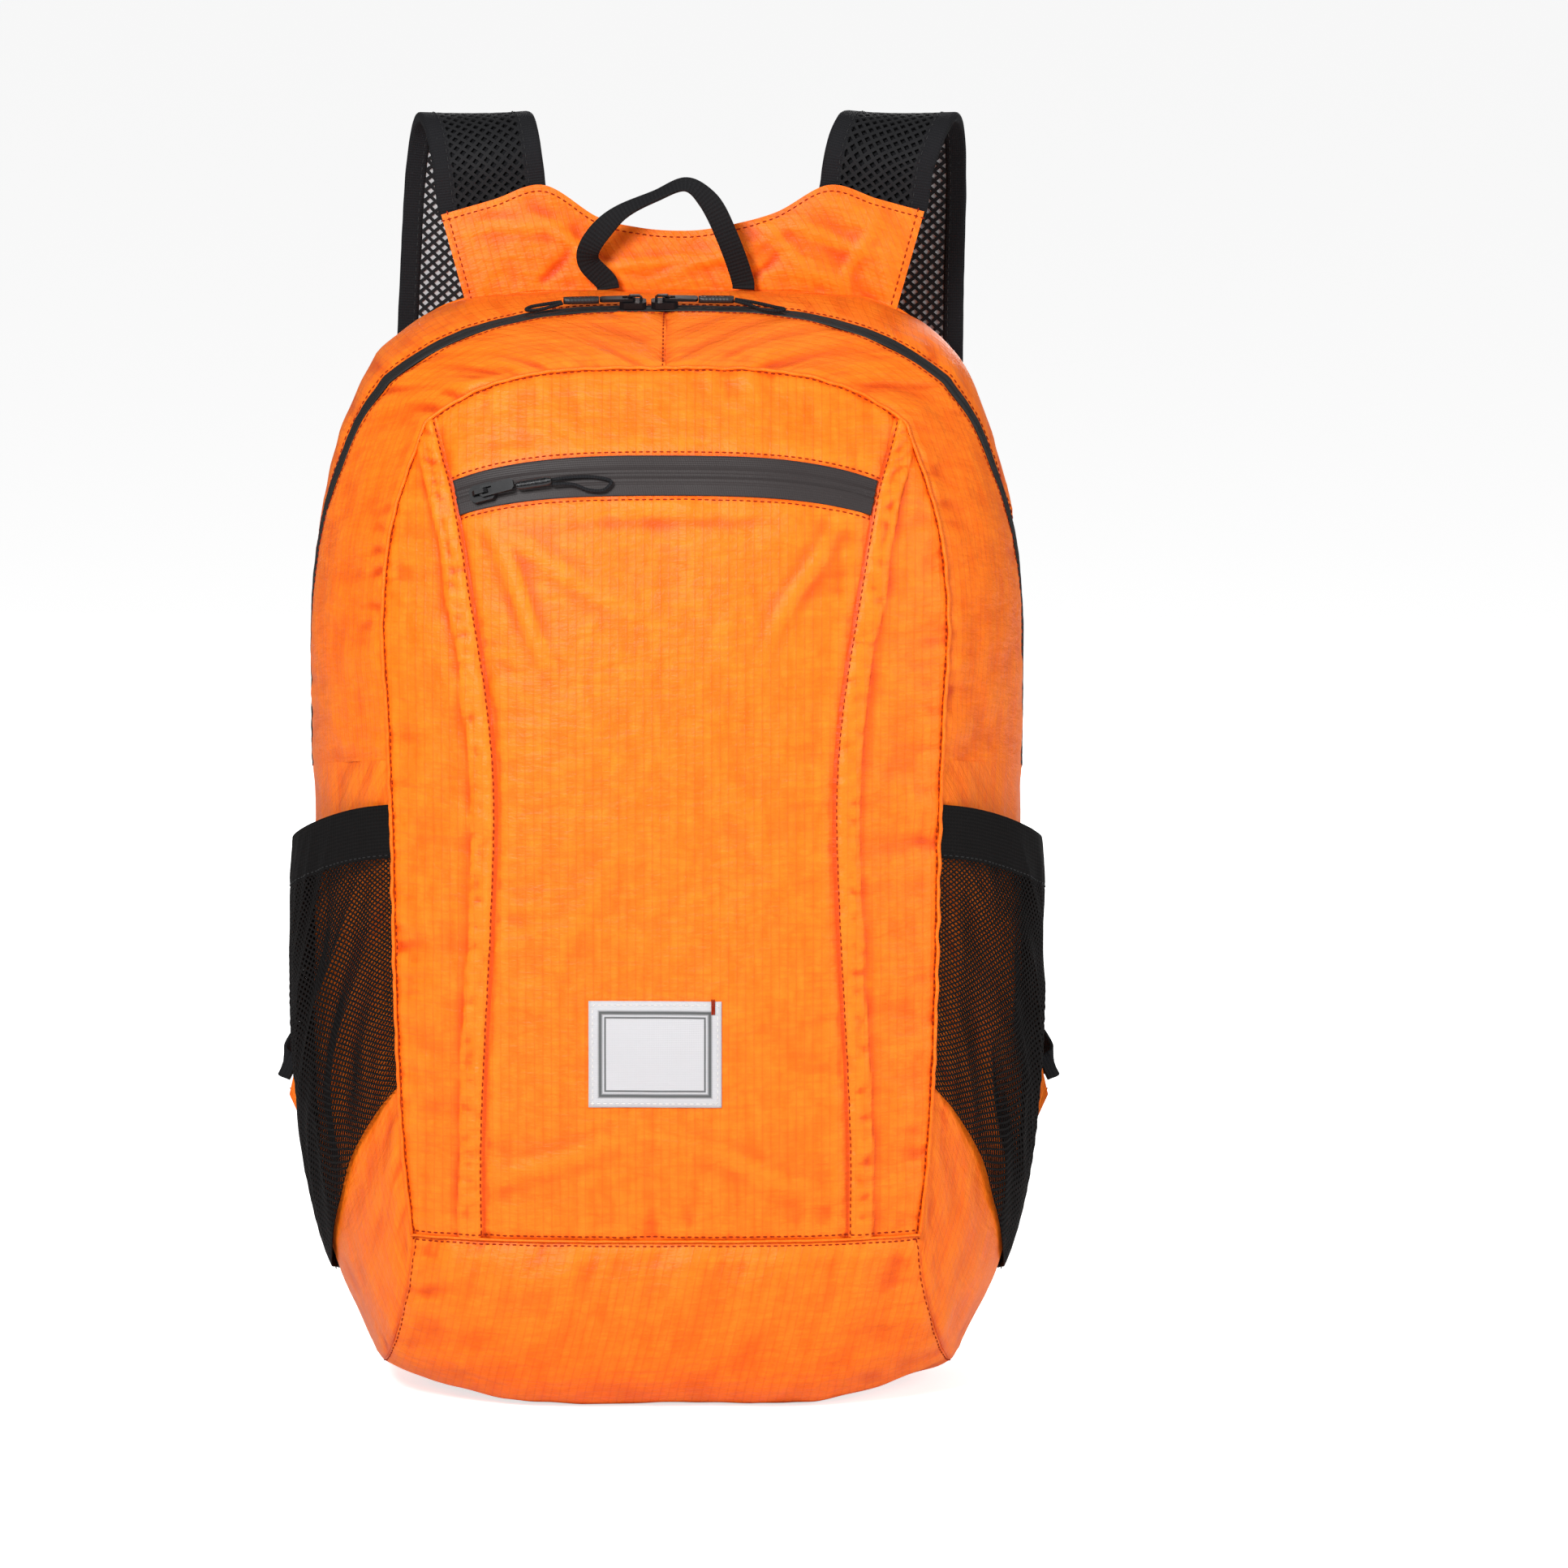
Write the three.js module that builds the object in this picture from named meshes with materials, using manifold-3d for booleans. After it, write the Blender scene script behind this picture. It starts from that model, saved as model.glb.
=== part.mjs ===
import * as THREE from "three";
import Module from "manifold-3d";

// Packable daypack that stands on its base. Millimetres, X to the wearer's left as seen from the front,
// Y from the front to the back, Z up. The origin is the middle of the flat base.

// Main sizes of the filled bag.
const bagHeight = 430;
const bagWidth = 280;
const frontWidth = 222;
const frontHeight = 410;
const frontReach = 78;
const backReach = 64;
const bottomSeamHeight = 70;
const cornerDrop = 22;
const sideBulge = 17;
const topBulge = 9;
const backBulge = 6;

// Cloth and seams.
const clothThickness = 1.2;
const seamGap = 0.5;
const seatGap = 0.3;
const mitreShare = 1.9;

// Zips.
const frontZipHeight = 14.4;
const frontZipDrop = 49.4;
const mainZipWidth = 6.4;
const mainZipEnd = 0.46;
const zipThickness = 1;
const sliderLength = 10.5;
const sliderWidth = 7;
const sliderHeight = 2.6;
const bridgeHeight = 2.4;
const pullerLength = 14;
const pullerWidth = 4.6;
const pullerThickness = 1.2;
const gripLength = 14;
const gripWidth = 3.6;
const gripThickness = 2.6;
const cordDiameter = 1.4;

// Side pockets.
const pocketFrontHeight = 240;
const pocketSideHeight = 209;
const pocketHemHeight = 21;
const pocketBulge = 9;
const pocketThickness = 1;
const hemThickness = 1.6;
const pocketBindingWidth = 11;

// Yoke, straps and handle.
const yokeHeight = 42.5;
const yokeHalfWidth = 93;
const yokeThickness = 3;
const strapWidth = 44;
const strapBindingWidth = 8.5;
const strapThickness = 5;
const bindingThickness = 6;
const strapArchHeight = 67;
const strapStandOff = 49;
const webbingWidth = 20;
const webbingThickness = 1.5;
const lockWidth = 32;
const lockHeight = 24;
const lockThickness = 4;
const handleHeight = 42;
const handleSpread = 56;
const handleWidth = 9.8;
const handleThickness = 1.5;
const tabReach = 17;
const tabThickness = 2.4;

// Label.
const labelWidth = 52;
const labelHeight = 42;
const labelBottom = 124;
const labelShift = -4;
const labelThickness = 0.8;

// Front face, from the bottom seam (0) to the top seam (1): half width as a share of half frontWidth,
// and how far the middle and the edge stand forward, as shares of frontReach.
const frontRows = [
  { up: 0, half: 0.9, middle: 0.95, edge: 0.75 },
  { up: 0.12, half: 0.935, middle: 0.99, edge: 0.745 },
  { up: 0.3, half: 0.957, middle: 1, edge: 0.72 },
  { up: 0.5, half: 0.968, middle: 0.975, edge: 0.69 },
  { up: 0.65, half: 0.985, middle: 0.92, edge: 0.65 },
  { up: 0.76, half: 1, middle: 0.85, edge: 0.6 },
  { up: 0.88, half: 0.965, middle: 0.73, edge: 0.53 },
  { up: 1, half: 0.85, middle: 0.44, edge: 0.42 },
];

// Curved seams that split the front face, as shares of its half width.
const princessRows = [
  { up: 0, across: 0.71 },
  { up: 0.2, across: 0.665 },
  { up: 0.38, across: 0.625 },
  { up: 0.55, across: 0.61 },
  { up: 0.7, across: 0.65 },
  { up: 0.8, across: 0.7 },
  { up: 0.86, across: 0.745 },
  { up: 0.9, across: 0.79 },
  { up: 1, across: 0.955 },
];

// Rear seam from the base corner (0) over the shoulder to the top middle (1), as shares of half bagWidth,
// bagHeight and backReach.
const backRows = [
  { run: 0, across: 0.825, up: 0.028, back: 0.96 },
  { run: 0.06, across: 0.93, up: 0.085, back: 1 },
  { run: 0.15, across: 0.968, up: 0.2, back: 1.02 },
  { run: 0.3, across: 0.965, up: 0.37, back: 1.03 },
  { run: 0.45, across: 0.965, up: 0.54, back: 1.03 },
  { run: 0.6, across: 0.95, up: 0.735, back: 1.02 },
  { run: 0.7, across: 0.885, up: 0.86, back: 1.01 },
  { run: 0.78, across: 0.78, up: 0.945, back: 1 },
  { run: 0.86, across: 0.6, up: 0.99, back: 1 },
  { run: 0.93, across: 0.3, up: 1, back: 1 },
  { run: 1, across: 0, up: 1, back: 1 },
];

// Where the main zip runs between the front seam (0) and the rear seam (1).
const zipRows = [
  { run: 0.4, side: 0.67 },
  { run: 0.6, side: 0.6 },
  { run: 0.7, side: 0.44 },
  { run: 0.74, side: 0.405 },
  { run: 0.78, side: 0.335 },
  { run: 0.82, side: 0.325 },
  { run: 0.86, side: 0.357 },
  { run: 0.9, side: 0.426 },
  { run: 0.94, side: 0.465 },
  { run: 1, side: 0.485 },
];

// Lower side seam from the front corner (0) to the rear corner (1), as shares of half bagWidth,
// frontReach (forward is negative) and bottomSeamHeight.
const lowerSeamRows = [
  { side: 0, across: 0.714, back: -0.75, up: 1 },
  { side: 0.15, across: 0.735, back: -0.69, up: 0.67 },
  { side: 0.3, across: 0.77, back: -0.54, up: 0.38 },
  { side: 0.45, across: 0.802, back: -0.28, up: 0.2 },
  { side: 0.6, across: 0.82, back: 0.06, up: 0.14 },
  { side: 0.8, across: 0.828, back: 0.44, up: 0.14 },
  { side: 1, across: 0.825, back: 0.788, up: 0.172 },
];

// Middle line of the base panel, as shares of frontReach and bottomSeamHeight.
const baseRows = [
  { side: 0, back: -0.95, up: 1 },
  { side: 0.1, back: -0.985, up: 0.76 },
  { side: 0.2, back: -0.95, up: 0.46 },
  { side: 0.3, back: -0.85, up: 0.2 },
  { side: 0.38, back: -0.69, up: 0.04 },
  { side: 0.44, back: -0.52, up: 0 },
  { side: 0.6, back: -0.05, up: 0 },
  { side: 0.8, back: 0.45, up: 0 },
  { side: 0.9, back: 0.66, up: 0.035 },
  { side: 1, back: 0.788, up: 0.172 },
];

// Lower edge of the side pocket, as shares of pocketSideHeight.
const pocketRows = [
  { side: 0, up: 0.617 },
  { side: 0.25, up: 0.465 },
  { side: 0.38, up: 0.36 },
  { side: 0.6, up: 0.235 },
  { side: 1, up: 0.17 },
];

// Top edge of the yoke as shares of yokeHalfWidth and yokeHeight, with its lower edge.
const yokeRows = [
  { run: 0, across: -0.97, up: 0.7, foot: -0.86 },
  { run: 0.1, across: -0.75, up: 0.84, foot: -0.68 },
  { run: 0.2, across: -0.53, up: 0.98, foot: -0.5 },
  { run: 0.3, across: -0.3, up: 0.68, foot: -0.3 },
  { run: 0.4, across: -0.12, up: 0.58, foot: -0.12 },
  { run: 0.5, across: 0.05, up: 0.55, foot: 0.05 },
  { run: 0.6, across: 0.21, up: 0.58, foot: 0.2 },
  { run: 0.7, across: 0.46, up: 0.72, foot: 0.38 },
  { run: 0.8, across: 0.69, up: 0.98, foot: 0.58 },
  { run: 0.9, across: 0.9, up: 0.85, foot: 0.78 },
  { run: 1, across: 1.1, up: 0.73, foot: 0.97 },
];

// Middle line of each shoulder strap: across as a share of yokeHalfWidth, back as a share of
// strapStandOff behind the rear seam, up as a share of strapArchHeight above the bag.
const leftStrapRows = [
  { across: -0.755, back: 0.06, up: 0.578 },
  { across: -0.775, back: 0.1, up: 0.79 },
  { across: -0.8, back: 0.29, up: 0.95 },
  { across: -0.84, back: 0.55, up: 1 },
  { across: -0.87, back: 0.83, up: 0.9 },
  { across: -0.9, back: 0.97, up: 0.62 },
  { across: -0.93, back: 1, up: -0.1 },
  { across: -0.97, back: 1, up: -1.2 },
  { across: -1.05, back: 0.92, up: -2.25 },
  { across: -1.12, back: 0.78, up: -3.15 },
  { across: -1.16, back: 0.66, up: -3.75 },
];
const rightStrapRows = [
  { across: 0.885, back: 0.06, up: 0.585 },
  { across: 0.91, back: 0.1, up: 0.79 },
  { across: 0.96, back: 0.29, up: 0.95 },
  { across: 1.01, back: 0.55, up: 1 },
  { across: 1.04, back: 0.83, up: 0.9 },
  { across: 1.05, back: 0.97, up: 0.62 },
  { across: 1.04, back: 1, up: -0.1 },
  { across: 1.04, back: 1, up: -1.2 },
  { across: 1.08, back: 0.92, up: -2.25 },
  { across: 1.13, back: 0.78, up: -3.15 },
  { across: 1.16, back: 0.66, up: -3.75 },
];

// Haul handle: across as a share of handleSpread, forward in shares of handleHeight, up the same.
const handleRows = [
  { across: -0.42, forward: 0, up: 0 },
  { across: -0.43, forward: 0, up: 0.06 },
  { across: -0.56, forward: 0.08, up: 0.27 },
  { across: -0.55, forward: 0.16, up: 0.42 },
  { across: -0.36, forward: 0.2, up: 0.72 },
  { across: -0.08, forward: 0.22, up: 0.91 },
  { across: 0.14, forward: 0.24, up: 1.02 },
  { across: 0.29, forward: 0.22, up: 0.87 },
  { across: 0.43, forward: 0.16, up: 0.5 },
  { across: 0.54, forward: 0, up: 0.05 },
  { across: 0.54, forward: 0, up: 0 },
];

// Lower webbing from the wing tab to the ladder lock, as shares of the way between them, with how far
// it stands out behind that line in shares of tabReach.
const webbingRows = [
  { way: 0, out: 0, back: 0 },
  { way: 0.08, out: 0.42, back: 0.1 },
  { way: 0.22, out: 0.3, back: 0.5 },
  { way: 0.5, out: 0.05, back: 0.55 },
  { way: 0.8, out: -0.05, back: 0.3 },
  { way: 1, out: 0, back: 0 },
];

// Stations shared by neighbouring panels, so that their edges meet.
const rowShares = [0, 0.13, 0.26, 0.39, 0.52, 0.65, 0.77, 0.89, 1];
const frontColumns = [-1, -0.72, -0.36, 0, 0.36, 0.72, 1];
const stripColumns = [0, 0.33, 0.66, 1];
const frontZipEdge = 1 - frontZipDrop / (frontHeight - bottomSeamHeight);
const frontZipCrown = frontZipEdge + frontZipHeight / (frontHeight - bottomSeamHeight);
const topRows = [0.95, 1];
const cornerRun = 0.78;
const gussetShares = [0, 0.2, 0.4, 0.6, 0.8, 1];
const rearShares = [0, 0.5, 1];

const halfFront = frontWidth / 2;
const halfBag = bagWidth / 2;

const vec = (x, y, z) => new THREE.Vector3(x, y, z);
const mix = (a, b, share) => a + (b - a) * share;
const clamp = (value) => Math.min(1, Math.max(0, value));
const smooth = (value) => clamp(value) ** 2 * (3 - 2 * clamp(value));

// Smooth value of one column of a table at a given key.
function follow(rows, key, column, at) {
  const last = rows.length - 1;
  let i = 0;
  while (i < last - 1 && at > rows[i + 1][key]) i += 1;
  const here = rows[i];
  const next = rows[i + 1];
  const before = rows[Math.max(0, i - 1)];
  const after = rows[Math.min(last, i + 2)];
  const width = next[key] - here[key];
  const share = clamp((at - here[key]) / width);
  const slope = (p, q) => (q[column] - p[column]) / Math.max(1e-6, q[key] - p[key]);
  const a = slope(before, next) * width;
  const b = slope(here, after) * width;
  const s2 = share * share;
  const s3 = s2 * share;
  return (
    (2 * s3 - 3 * s2 + 1) * here[column] +
    (s3 - 2 * s2 + share) * a +
    (3 * s2 - 2 * s3) * next[column] +
    (s3 - s2) * b
  );
}

// Point of the front face: across from -1 to 1, up from 0 to 1.
function frontFace(across, up) {
  const side = Math.abs(across);
  const top = frontHeight - cornerDrop * side ** 3.6;
  const crown = side ** 3.2;
  const reach = mix(follow(frontRows, "up", "middle", up), follow(frontRows, "up", "edge", up), crown);
  return vec(
    across * halfFront * follow(frontRows, "up", "half", up),
    -frontReach * reach,
    mix(bottomSeamHeight, top, up),
  );
}

const princess = (up) => follow(princessRows, "up", "across", up);

// Front seam of one side, from the bottom corner (0) to the top middle (1).
function frontSeam(side, run) {
  if (run < cornerRun) return frontFace(side, run / cornerRun);
  return frontFace((side * (1 - run)) / (1 - cornerRun), 1);
}

function rearSeam(side, run) {
  return vec(
    side * halfBag * follow(backRows, "run", "across", run),
    backReach * follow(backRows, "run", "back", run),
    bagHeight * follow(backRows, "run", "up", run),
  );
}

function lowerSeam(side, across) {
  return vec(
    side * halfBag * follow(lowerSeamRows, "side", "across", across),
    frontReach * follow(lowerSeamRows, "side", "back", across),
    bottomSeamHeight * follow(lowerSeamRows, "side", "up", across),
  );
}

// Side and top of the bag between the front seam and the rear seam, pushed out like a filled bag.
function looseGusset(side, run, across) {
  const front = frontSeam(side, run);
  const rear = rearSeam(side, run);
  const step = 0.02;
  const low = rearSeam(side, Math.max(0, run - step));
  const high = rearSeam(side, Math.min(1, run + step));
  const along = high.sub(low).setY(0).normalize();
  const out = vec(side * along.z, 0, -side * along.x);
  const push = mix(topBulge, sideBulge, Math.abs(out.x)) * Math.sin(Math.PI * across);
  return front.lerp(rear, across).addScaledVector(out, push);
}

function gusset(side, run, across) {
  const point = looseGusset(side, run, across);
  const fade = (1 - clamp(run / 0.26)) ** 3;
  const foot = lowerSeam(side, across).sub(looseGusset(side, 0, across));
  const foreFoot = frontSeam(side, 0).sub(looseGusset(side, 0, 0));
  const rearFoot = rearSeam(side, 0).sub(looseGusset(side, 0, 1));
  const ends = foreFoot.multiplyScalar(1 - across).add(rearFoot.multiplyScalar(across));
  const endMiss = lowerSeam(side, 0).sub(frontSeam(side, 0)).multiplyScalar(1 - across);
  const rearMiss = lowerSeam(side, 1).sub(rearSeam(side, 0)).multiplyScalar(across);
  return point.addScaledVector(foot.sub(ends).sub(endMiss).sub(rearMiss), fade);
}

const zipSide = (run) => follow(zipRows, "run", "side", run);

// Half of the main zip's width as a share of the way from seam to seam.
function zipHalf(run) {
  const across = frontSeam(-1, run).distanceTo(rearSeam(-1, run));
  return mainZipWidth / 2 / (across * 1.05);
}

// Point of a side at a stated height.
function sideAt(side, across, height) {
  let low = 0;
  let high = cornerRun;
  for (let i = 0; i < 24; i += 1) {
    const middle = (low + high) / 2;
    if (gusset(side, middle, across).z < height) low = middle;
    else high = middle;
  }
  return (low + high) / 2;
}

// Base panel: down the front from the bottom seam, under the bag and up to the rear seam.
function base(across, side) {
  const far = Math.abs(across);
  const edge = gusset(across < 0 ? -1 : 1, 0, side);
  const weight = clamp((far - 0.35) / 0.65) ** 2.2;
  const point = vec(
    across * Math.abs(edge.x),
    mix(frontReach * follow(baseRows, "side", "back", side), edge.y, weight),
    mix(bottomSeamHeight * follow(baseRows, "side", "up", side), edge.z, weight),
  );
  const seam = frontFace(across, 0);
  const start = vec(
    across * Math.abs(gusset(1, 0, 0).x),
    mix(frontReach * baseRows[0].back, gusset(1, 0, 0).y, weight),
    bottomSeamHeight,
  );
  return point.addScaledVector(seam.sub(start), 1 - smooth(side / 0.3));
}

// Back panel between the base and the rear seam.
function backPanel(across, up) {
  const side = across < 0 ? -1 : 1;
  const share = (across + 1) / 2;
  const low = base(across, 1);
  const run = mix(1, cornerRun, Math.abs(across));
  const high = rearSeam(side, run);
  const left = rearSeam(-1, cornerRun * up);
  const right = rearSeam(1, cornerRun * up);
  const flat = left.lerp(right, share);
  const lowLine = rearSeam(-1, 0).lerp(rearSeam(1, 0), share);
  const highLine = rearSeam(-1, cornerRun).lerp(rearSeam(1, cornerRun), share);
  const point = flat.add(low.sub(lowLine).multiplyScalar(1 - up)).add(high.sub(highLine).multiplyScalar(up));
  point.y += backBulge * (1 - across ** 2) * Math.sin(Math.PI * up);
  return point;
}

const group = new THREE.Group();
group.name = "packable_backpack";

const orange = { color: 0xff7a1c, roughness: 0.6, metalness: 0 };
const black = { color: 0x17171a, roughness: 0.85, metalness: 0 };
const tape = { color: 0x3a3a3f, roughness: 0.55, metalness: 0 };
const plastic = { color: 0x3d3f44, roughness: 0.35, metalness: 0 };
const white = { color: 0xf2eee6, roughness: 0.8, metalness: 0 };

function add(name, geometry, look) {
  const mesh = new THREE.Mesh(geometry, new THREE.MeshStandardMaterial(look));
  mesh.name = name;
  geometry.computeVertexNormals();
  group.add(mesh);
  return mesh;
}

function meshOf(points, faces) {
  const geometry = new THREE.BufferGeometry();
  geometry.setAttribute("position", new THREE.Float32BufferAttribute(points.flatMap((p) => [p.x, p.y, p.z]), 3));
  geometry.setIndex(faces.flat());
  return geometry;
}

// Length of a surface's curve with one of its two shares held still.
function curveLength(surface, fixed, alongU) {
  let length = 0;
  let before = alongU ? surface(0, fixed) : surface(fixed, 0);
  for (let i = 1; i <= 8; i += 1) {
    const next = alongU ? surface(i / 8, fixed) : surface(fixed, i / 8);
    length += next.distanceTo(before);
    before = next;
  }
  return length;
}

const bagMiddle = vec(0, 0, bagHeight / 2);

// Thin closed solid over a curved four-sided patch. Its edges stop short of the seam by edgeGap, and
// the inner face is set in more, so that walls that meet at a corner stay clear of each other.
function patch(surface, us, vs, thickness, lift = 0, edgeGap = seamGap / 2) {
  const lengthsU = vs.map((v) => curveLength(surface, v, true));
  const lengthsV = us.map((u) => curveLength(surface, u, false));
  const step = 1e-3;
  const inset = (share, gap, length) => mix(gap / length, 1 - gap / length, share);
  const normalAt = (u, v) => {
    const u0 = clamp(u - step);
    const u1 = clamp(u + step);
    const v0 = clamp(v - step);
    const v1 = clamp(v + step);
    const alongU = surface(u1, v).sub(surface(u0, v));
    const alongV = surface(u, v1).sub(surface(u, v0));
    return alongU.cross(alongV).normalize();
  };
  const centre = surface(0.5, 0.5);
  const facing = Math.sign(normalAt(0.5, 0.5).dot(centre.sub(bagMiddle)));
  const layer = (depth, gap) =>
    vs.flatMap((v, j) =>
      us.map((u, i) => {
        const uu = inset(u, gap, lengthsU[j]);
        const vv = inset(v, gap, lengthsV[i]);
        return surface(uu, vv).addScaledVector(normalAt(uu, vv), facing * depth);
      }),
    );
  const innerGap = edgeGap + thickness * mitreShare;
  const points = [...layer(lift, edgeGap), ...layer(lift - thickness, innerGap)];
  const n = us.length;
  const m = vs.length;
  const half = n * m;
  const faces = [];
  const quad = (a, b, c, d) => faces.push(facing > 0 ? [a, b, c, a, c, d] : [a, c, b, a, d, c]);
  for (let j = 0; j < m - 1; j += 1) {
    for (let i = 0; i < n - 1; i += 1) {
      const a = j * n + i;
      quad(a, a + 1, a + n + 1, a + n);
      quad(half + a, half + a + n, half + a + n + 1, half + a + 1);
    }
  }
  for (let i = 0; i < n - 1; i += 1) {
    const top = (m - 1) * n + i;
    quad(i, half + i, half + i + 1, i + 1);
    quad(top, top + 1, half + top + 1, half + top);
  }
  for (let j = 0; j < m - 1; j += 1) {
    const left = j * n;
    const right = left + n - 1;
    quad(left, left + n, half + left + n, half + left);
    quad(right, half + right, half + right + n, right + n);
  }
  return meshOf(points, faces);
}

// Closed solid of one convex section carried along a list of frames.
function sweep(frames, section) {
  const n = section.length;
  const points = frames.flatMap(({ at, across, up, scale = 1 }) =>
    section.map(([x, y]) => at.clone().addScaledVector(across, x * scale).addScaledVector(up, y)),
  );
  const faces = [];
  for (let j = 0; j < frames.length - 1; j += 1) {
    for (let i = 0; i < n; i += 1) {
      const a = j * n + i;
      const b = j * n + ((i + 1) % n);
      faces.push([a, b, b + n, a, b + n, a + n]);
    }
  }
  const end = (frames.length - 1) * n;
  for (let i = 1; i < n - 1; i += 1) {
    faces.push([0, i + 1, i]);
    faces.push([end, end + i, end + i + 1]);
  }
  return meshOf(points, faces);
}

const bar = (left, right, low, high) => [
  [left, low],
  [right, low],
  [right, high],
  [left, high],
];

// Frames along a smooth line through the points; acrossOf gives the wide direction at each share.
function framesAlong(points, count, acrossOf) {
  const curve = new THREE.CatmullRomCurve3(points, false, "centripetal");
  return Array.from({ length: count + 1 }, (_, i) => {
    const share = i / count;
    const at = curve.getPointAt(share);
    const along = curve.getTangentAt(share);
    const across = acrossOf(share, at, along);
    across.addScaledVector(along, -across.dot(along)).normalize();
    return { at, across, up: along.clone().cross(across).normalize() };
  });
}

// Front of the bag.
const zipLow = (across) => frontZipEdge + 0.006 * (1 - (across / 0.75) ** 2);
const zipHigh = (across) => zipLow(across) + frontZipCrown - frontZipEdge + 0.002;
const frontShares = frontColumns.map((column) => (column + 1) / 2);

const frontRegion = (low, high) => (u, v) => {
  const column = u * 2 - 1;
  const guess = princess(v < 0.5 ? low(0.75) : high(0.75));
  const up0 = mix(low(column * guess), high(column * guess), v);
  const across = column * princess(up0);
  return frontFace(across, mix(low(across), high(across), v));
};

add("front_panel", patch(frontRegion(() => 0, zipLow), frontShares, rowShares, clothThickness), orange);
add("front_pocket_zip", patch(frontRegion(zipLow, zipHigh), frontShares, [0, 1], zipThickness), tape);
add("front_top_panel", patch(frontRegion(zipHigh, () => 1), frontShares, [0, 0.5, 1], clothThickness), orange);

const stripRows = [...rowShares.map((share) => share * frontZipEdge), frontZipCrown, ...topRows];
const seamRuns = stripRows.map((row) => row * cornerRun);
const topColumns = frontColumns.filter((column) => column >= 0).map((column) => column * princess(1));
const topRuns = topColumns.map((column) => 1 - (1 - cornerRun) * column).sort((a, b) => a - b);
for (const [side, hand] of [
  [-1, "left"],
  [1, "right"],
]) {
  const strip = (u, v) => frontFace(side * mix(princess(v), 1, u), v);
  add(`front_side_strip_${hand}`, patch(strip, stripColumns, stripRows, clothThickness), orange);
}

// Base, sides, rear strip and back.
const baseColumns = [
  ...stripColumns.slice(1).reverse().map((share) => -mix(princess(0), 1, share)),
  ...frontColumns.map((column) => column * princess(0)),
  ...stripColumns.slice(1).map((share) => mix(princess(0), 1, share)),
].map((across) => (across + 1) / 2);
const endZip = zipSide(mainZipEnd);
const endHalf = zipHalf(mainZipEnd);
const sideShares = [
  ...gussetShares.map((share) => share * (endZip - endHalf)),
  ...rearShares.map((share) => mix(endZip + endHalf, 1, share)),
];
add("base_panel", patch((u, v) => base(u * 2 - 1, v), baseColumns, [0, 0.1, 0.2, 0.29, 0.37, 0.45, 0.6, 0.8, 0.9, 1], clothThickness), orange);
const lowRuns = [...seamRuns.filter((run) => run < mainZipEnd - 0.01), mainZipEnd];
const highRuns = seamRuns.filter((run) => run > mainZipEnd + 0.01);
const lowShares = lowRuns.map((run) => run / mainZipEnd);
const highShares = [mainZipEnd, ...highRuns, ...topRuns].map((run) => (run - mainZipEnd) / (1 - mainZipEnd));
const backColumns = [1, ...topColumns.filter((column) => column > 0).reverse()];
const backShares = [...backColumns.map((column) => -column), 0, ...backColumns.reverse()].map(
  (column) => (column + 1) / 2,
);
const backStations = [...lowRuns, ...highRuns].map((run) => run / cornerRun);
add(
  "back_panel",
  patch((u, v) => backPanel(u * 2 - 1, v), backShares, backStations, clothThickness, 0, seamGap),
  orange,
);

for (const [side, hand] of [
  [-1, "left"],
  [1, "right"],
]) {
  const low = (u, v) => gusset(side, v * mainZipEnd, u);
  add(`side_panel_${hand}`, patch(low, sideShares, lowShares, clothThickness), orange);
  const fore = (u, v) => {
    const run = mix(mainZipEnd, 1, v);
    return gusset(side, run, u * (zipSide(run) - zipHalf(run)));
  };
  add(`front_gusset_${hand}`, patch(fore, gussetShares, highShares, clothThickness), orange);
}

// A run over the whole arch, from the left end of the main zip (0) to its right end (1).
const archShares = [...highShares.map((share) => share / 2), ...highShares.slice(0, -1).reverse().map((share) => 1 - share / 2)];
const arch = (u, acrossOf) => {
  const side = u < 0.5 ? -1 : 1;
  const run = mix(mainZipEnd, 1, side < 0 ? u * 2 : 2 - u * 2);
  return gusset(side, run, acrossOf(run));
};
add(
  "main_zip",
  patch((u, v) => arch(u, (run) => zipSide(run) + zipHalf(run) * (v * 2 - 1)), archShares, [0, 1], zipThickness),
  tape,
);
add(
  "rear_strip",
  patch((u, v) => arch(u, (run) => mix(zipSide(run) + zipHalf(run), 1, v)), archShares, [0, 0.35, 0.7, 1], clothThickness),
  orange,
);

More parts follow.
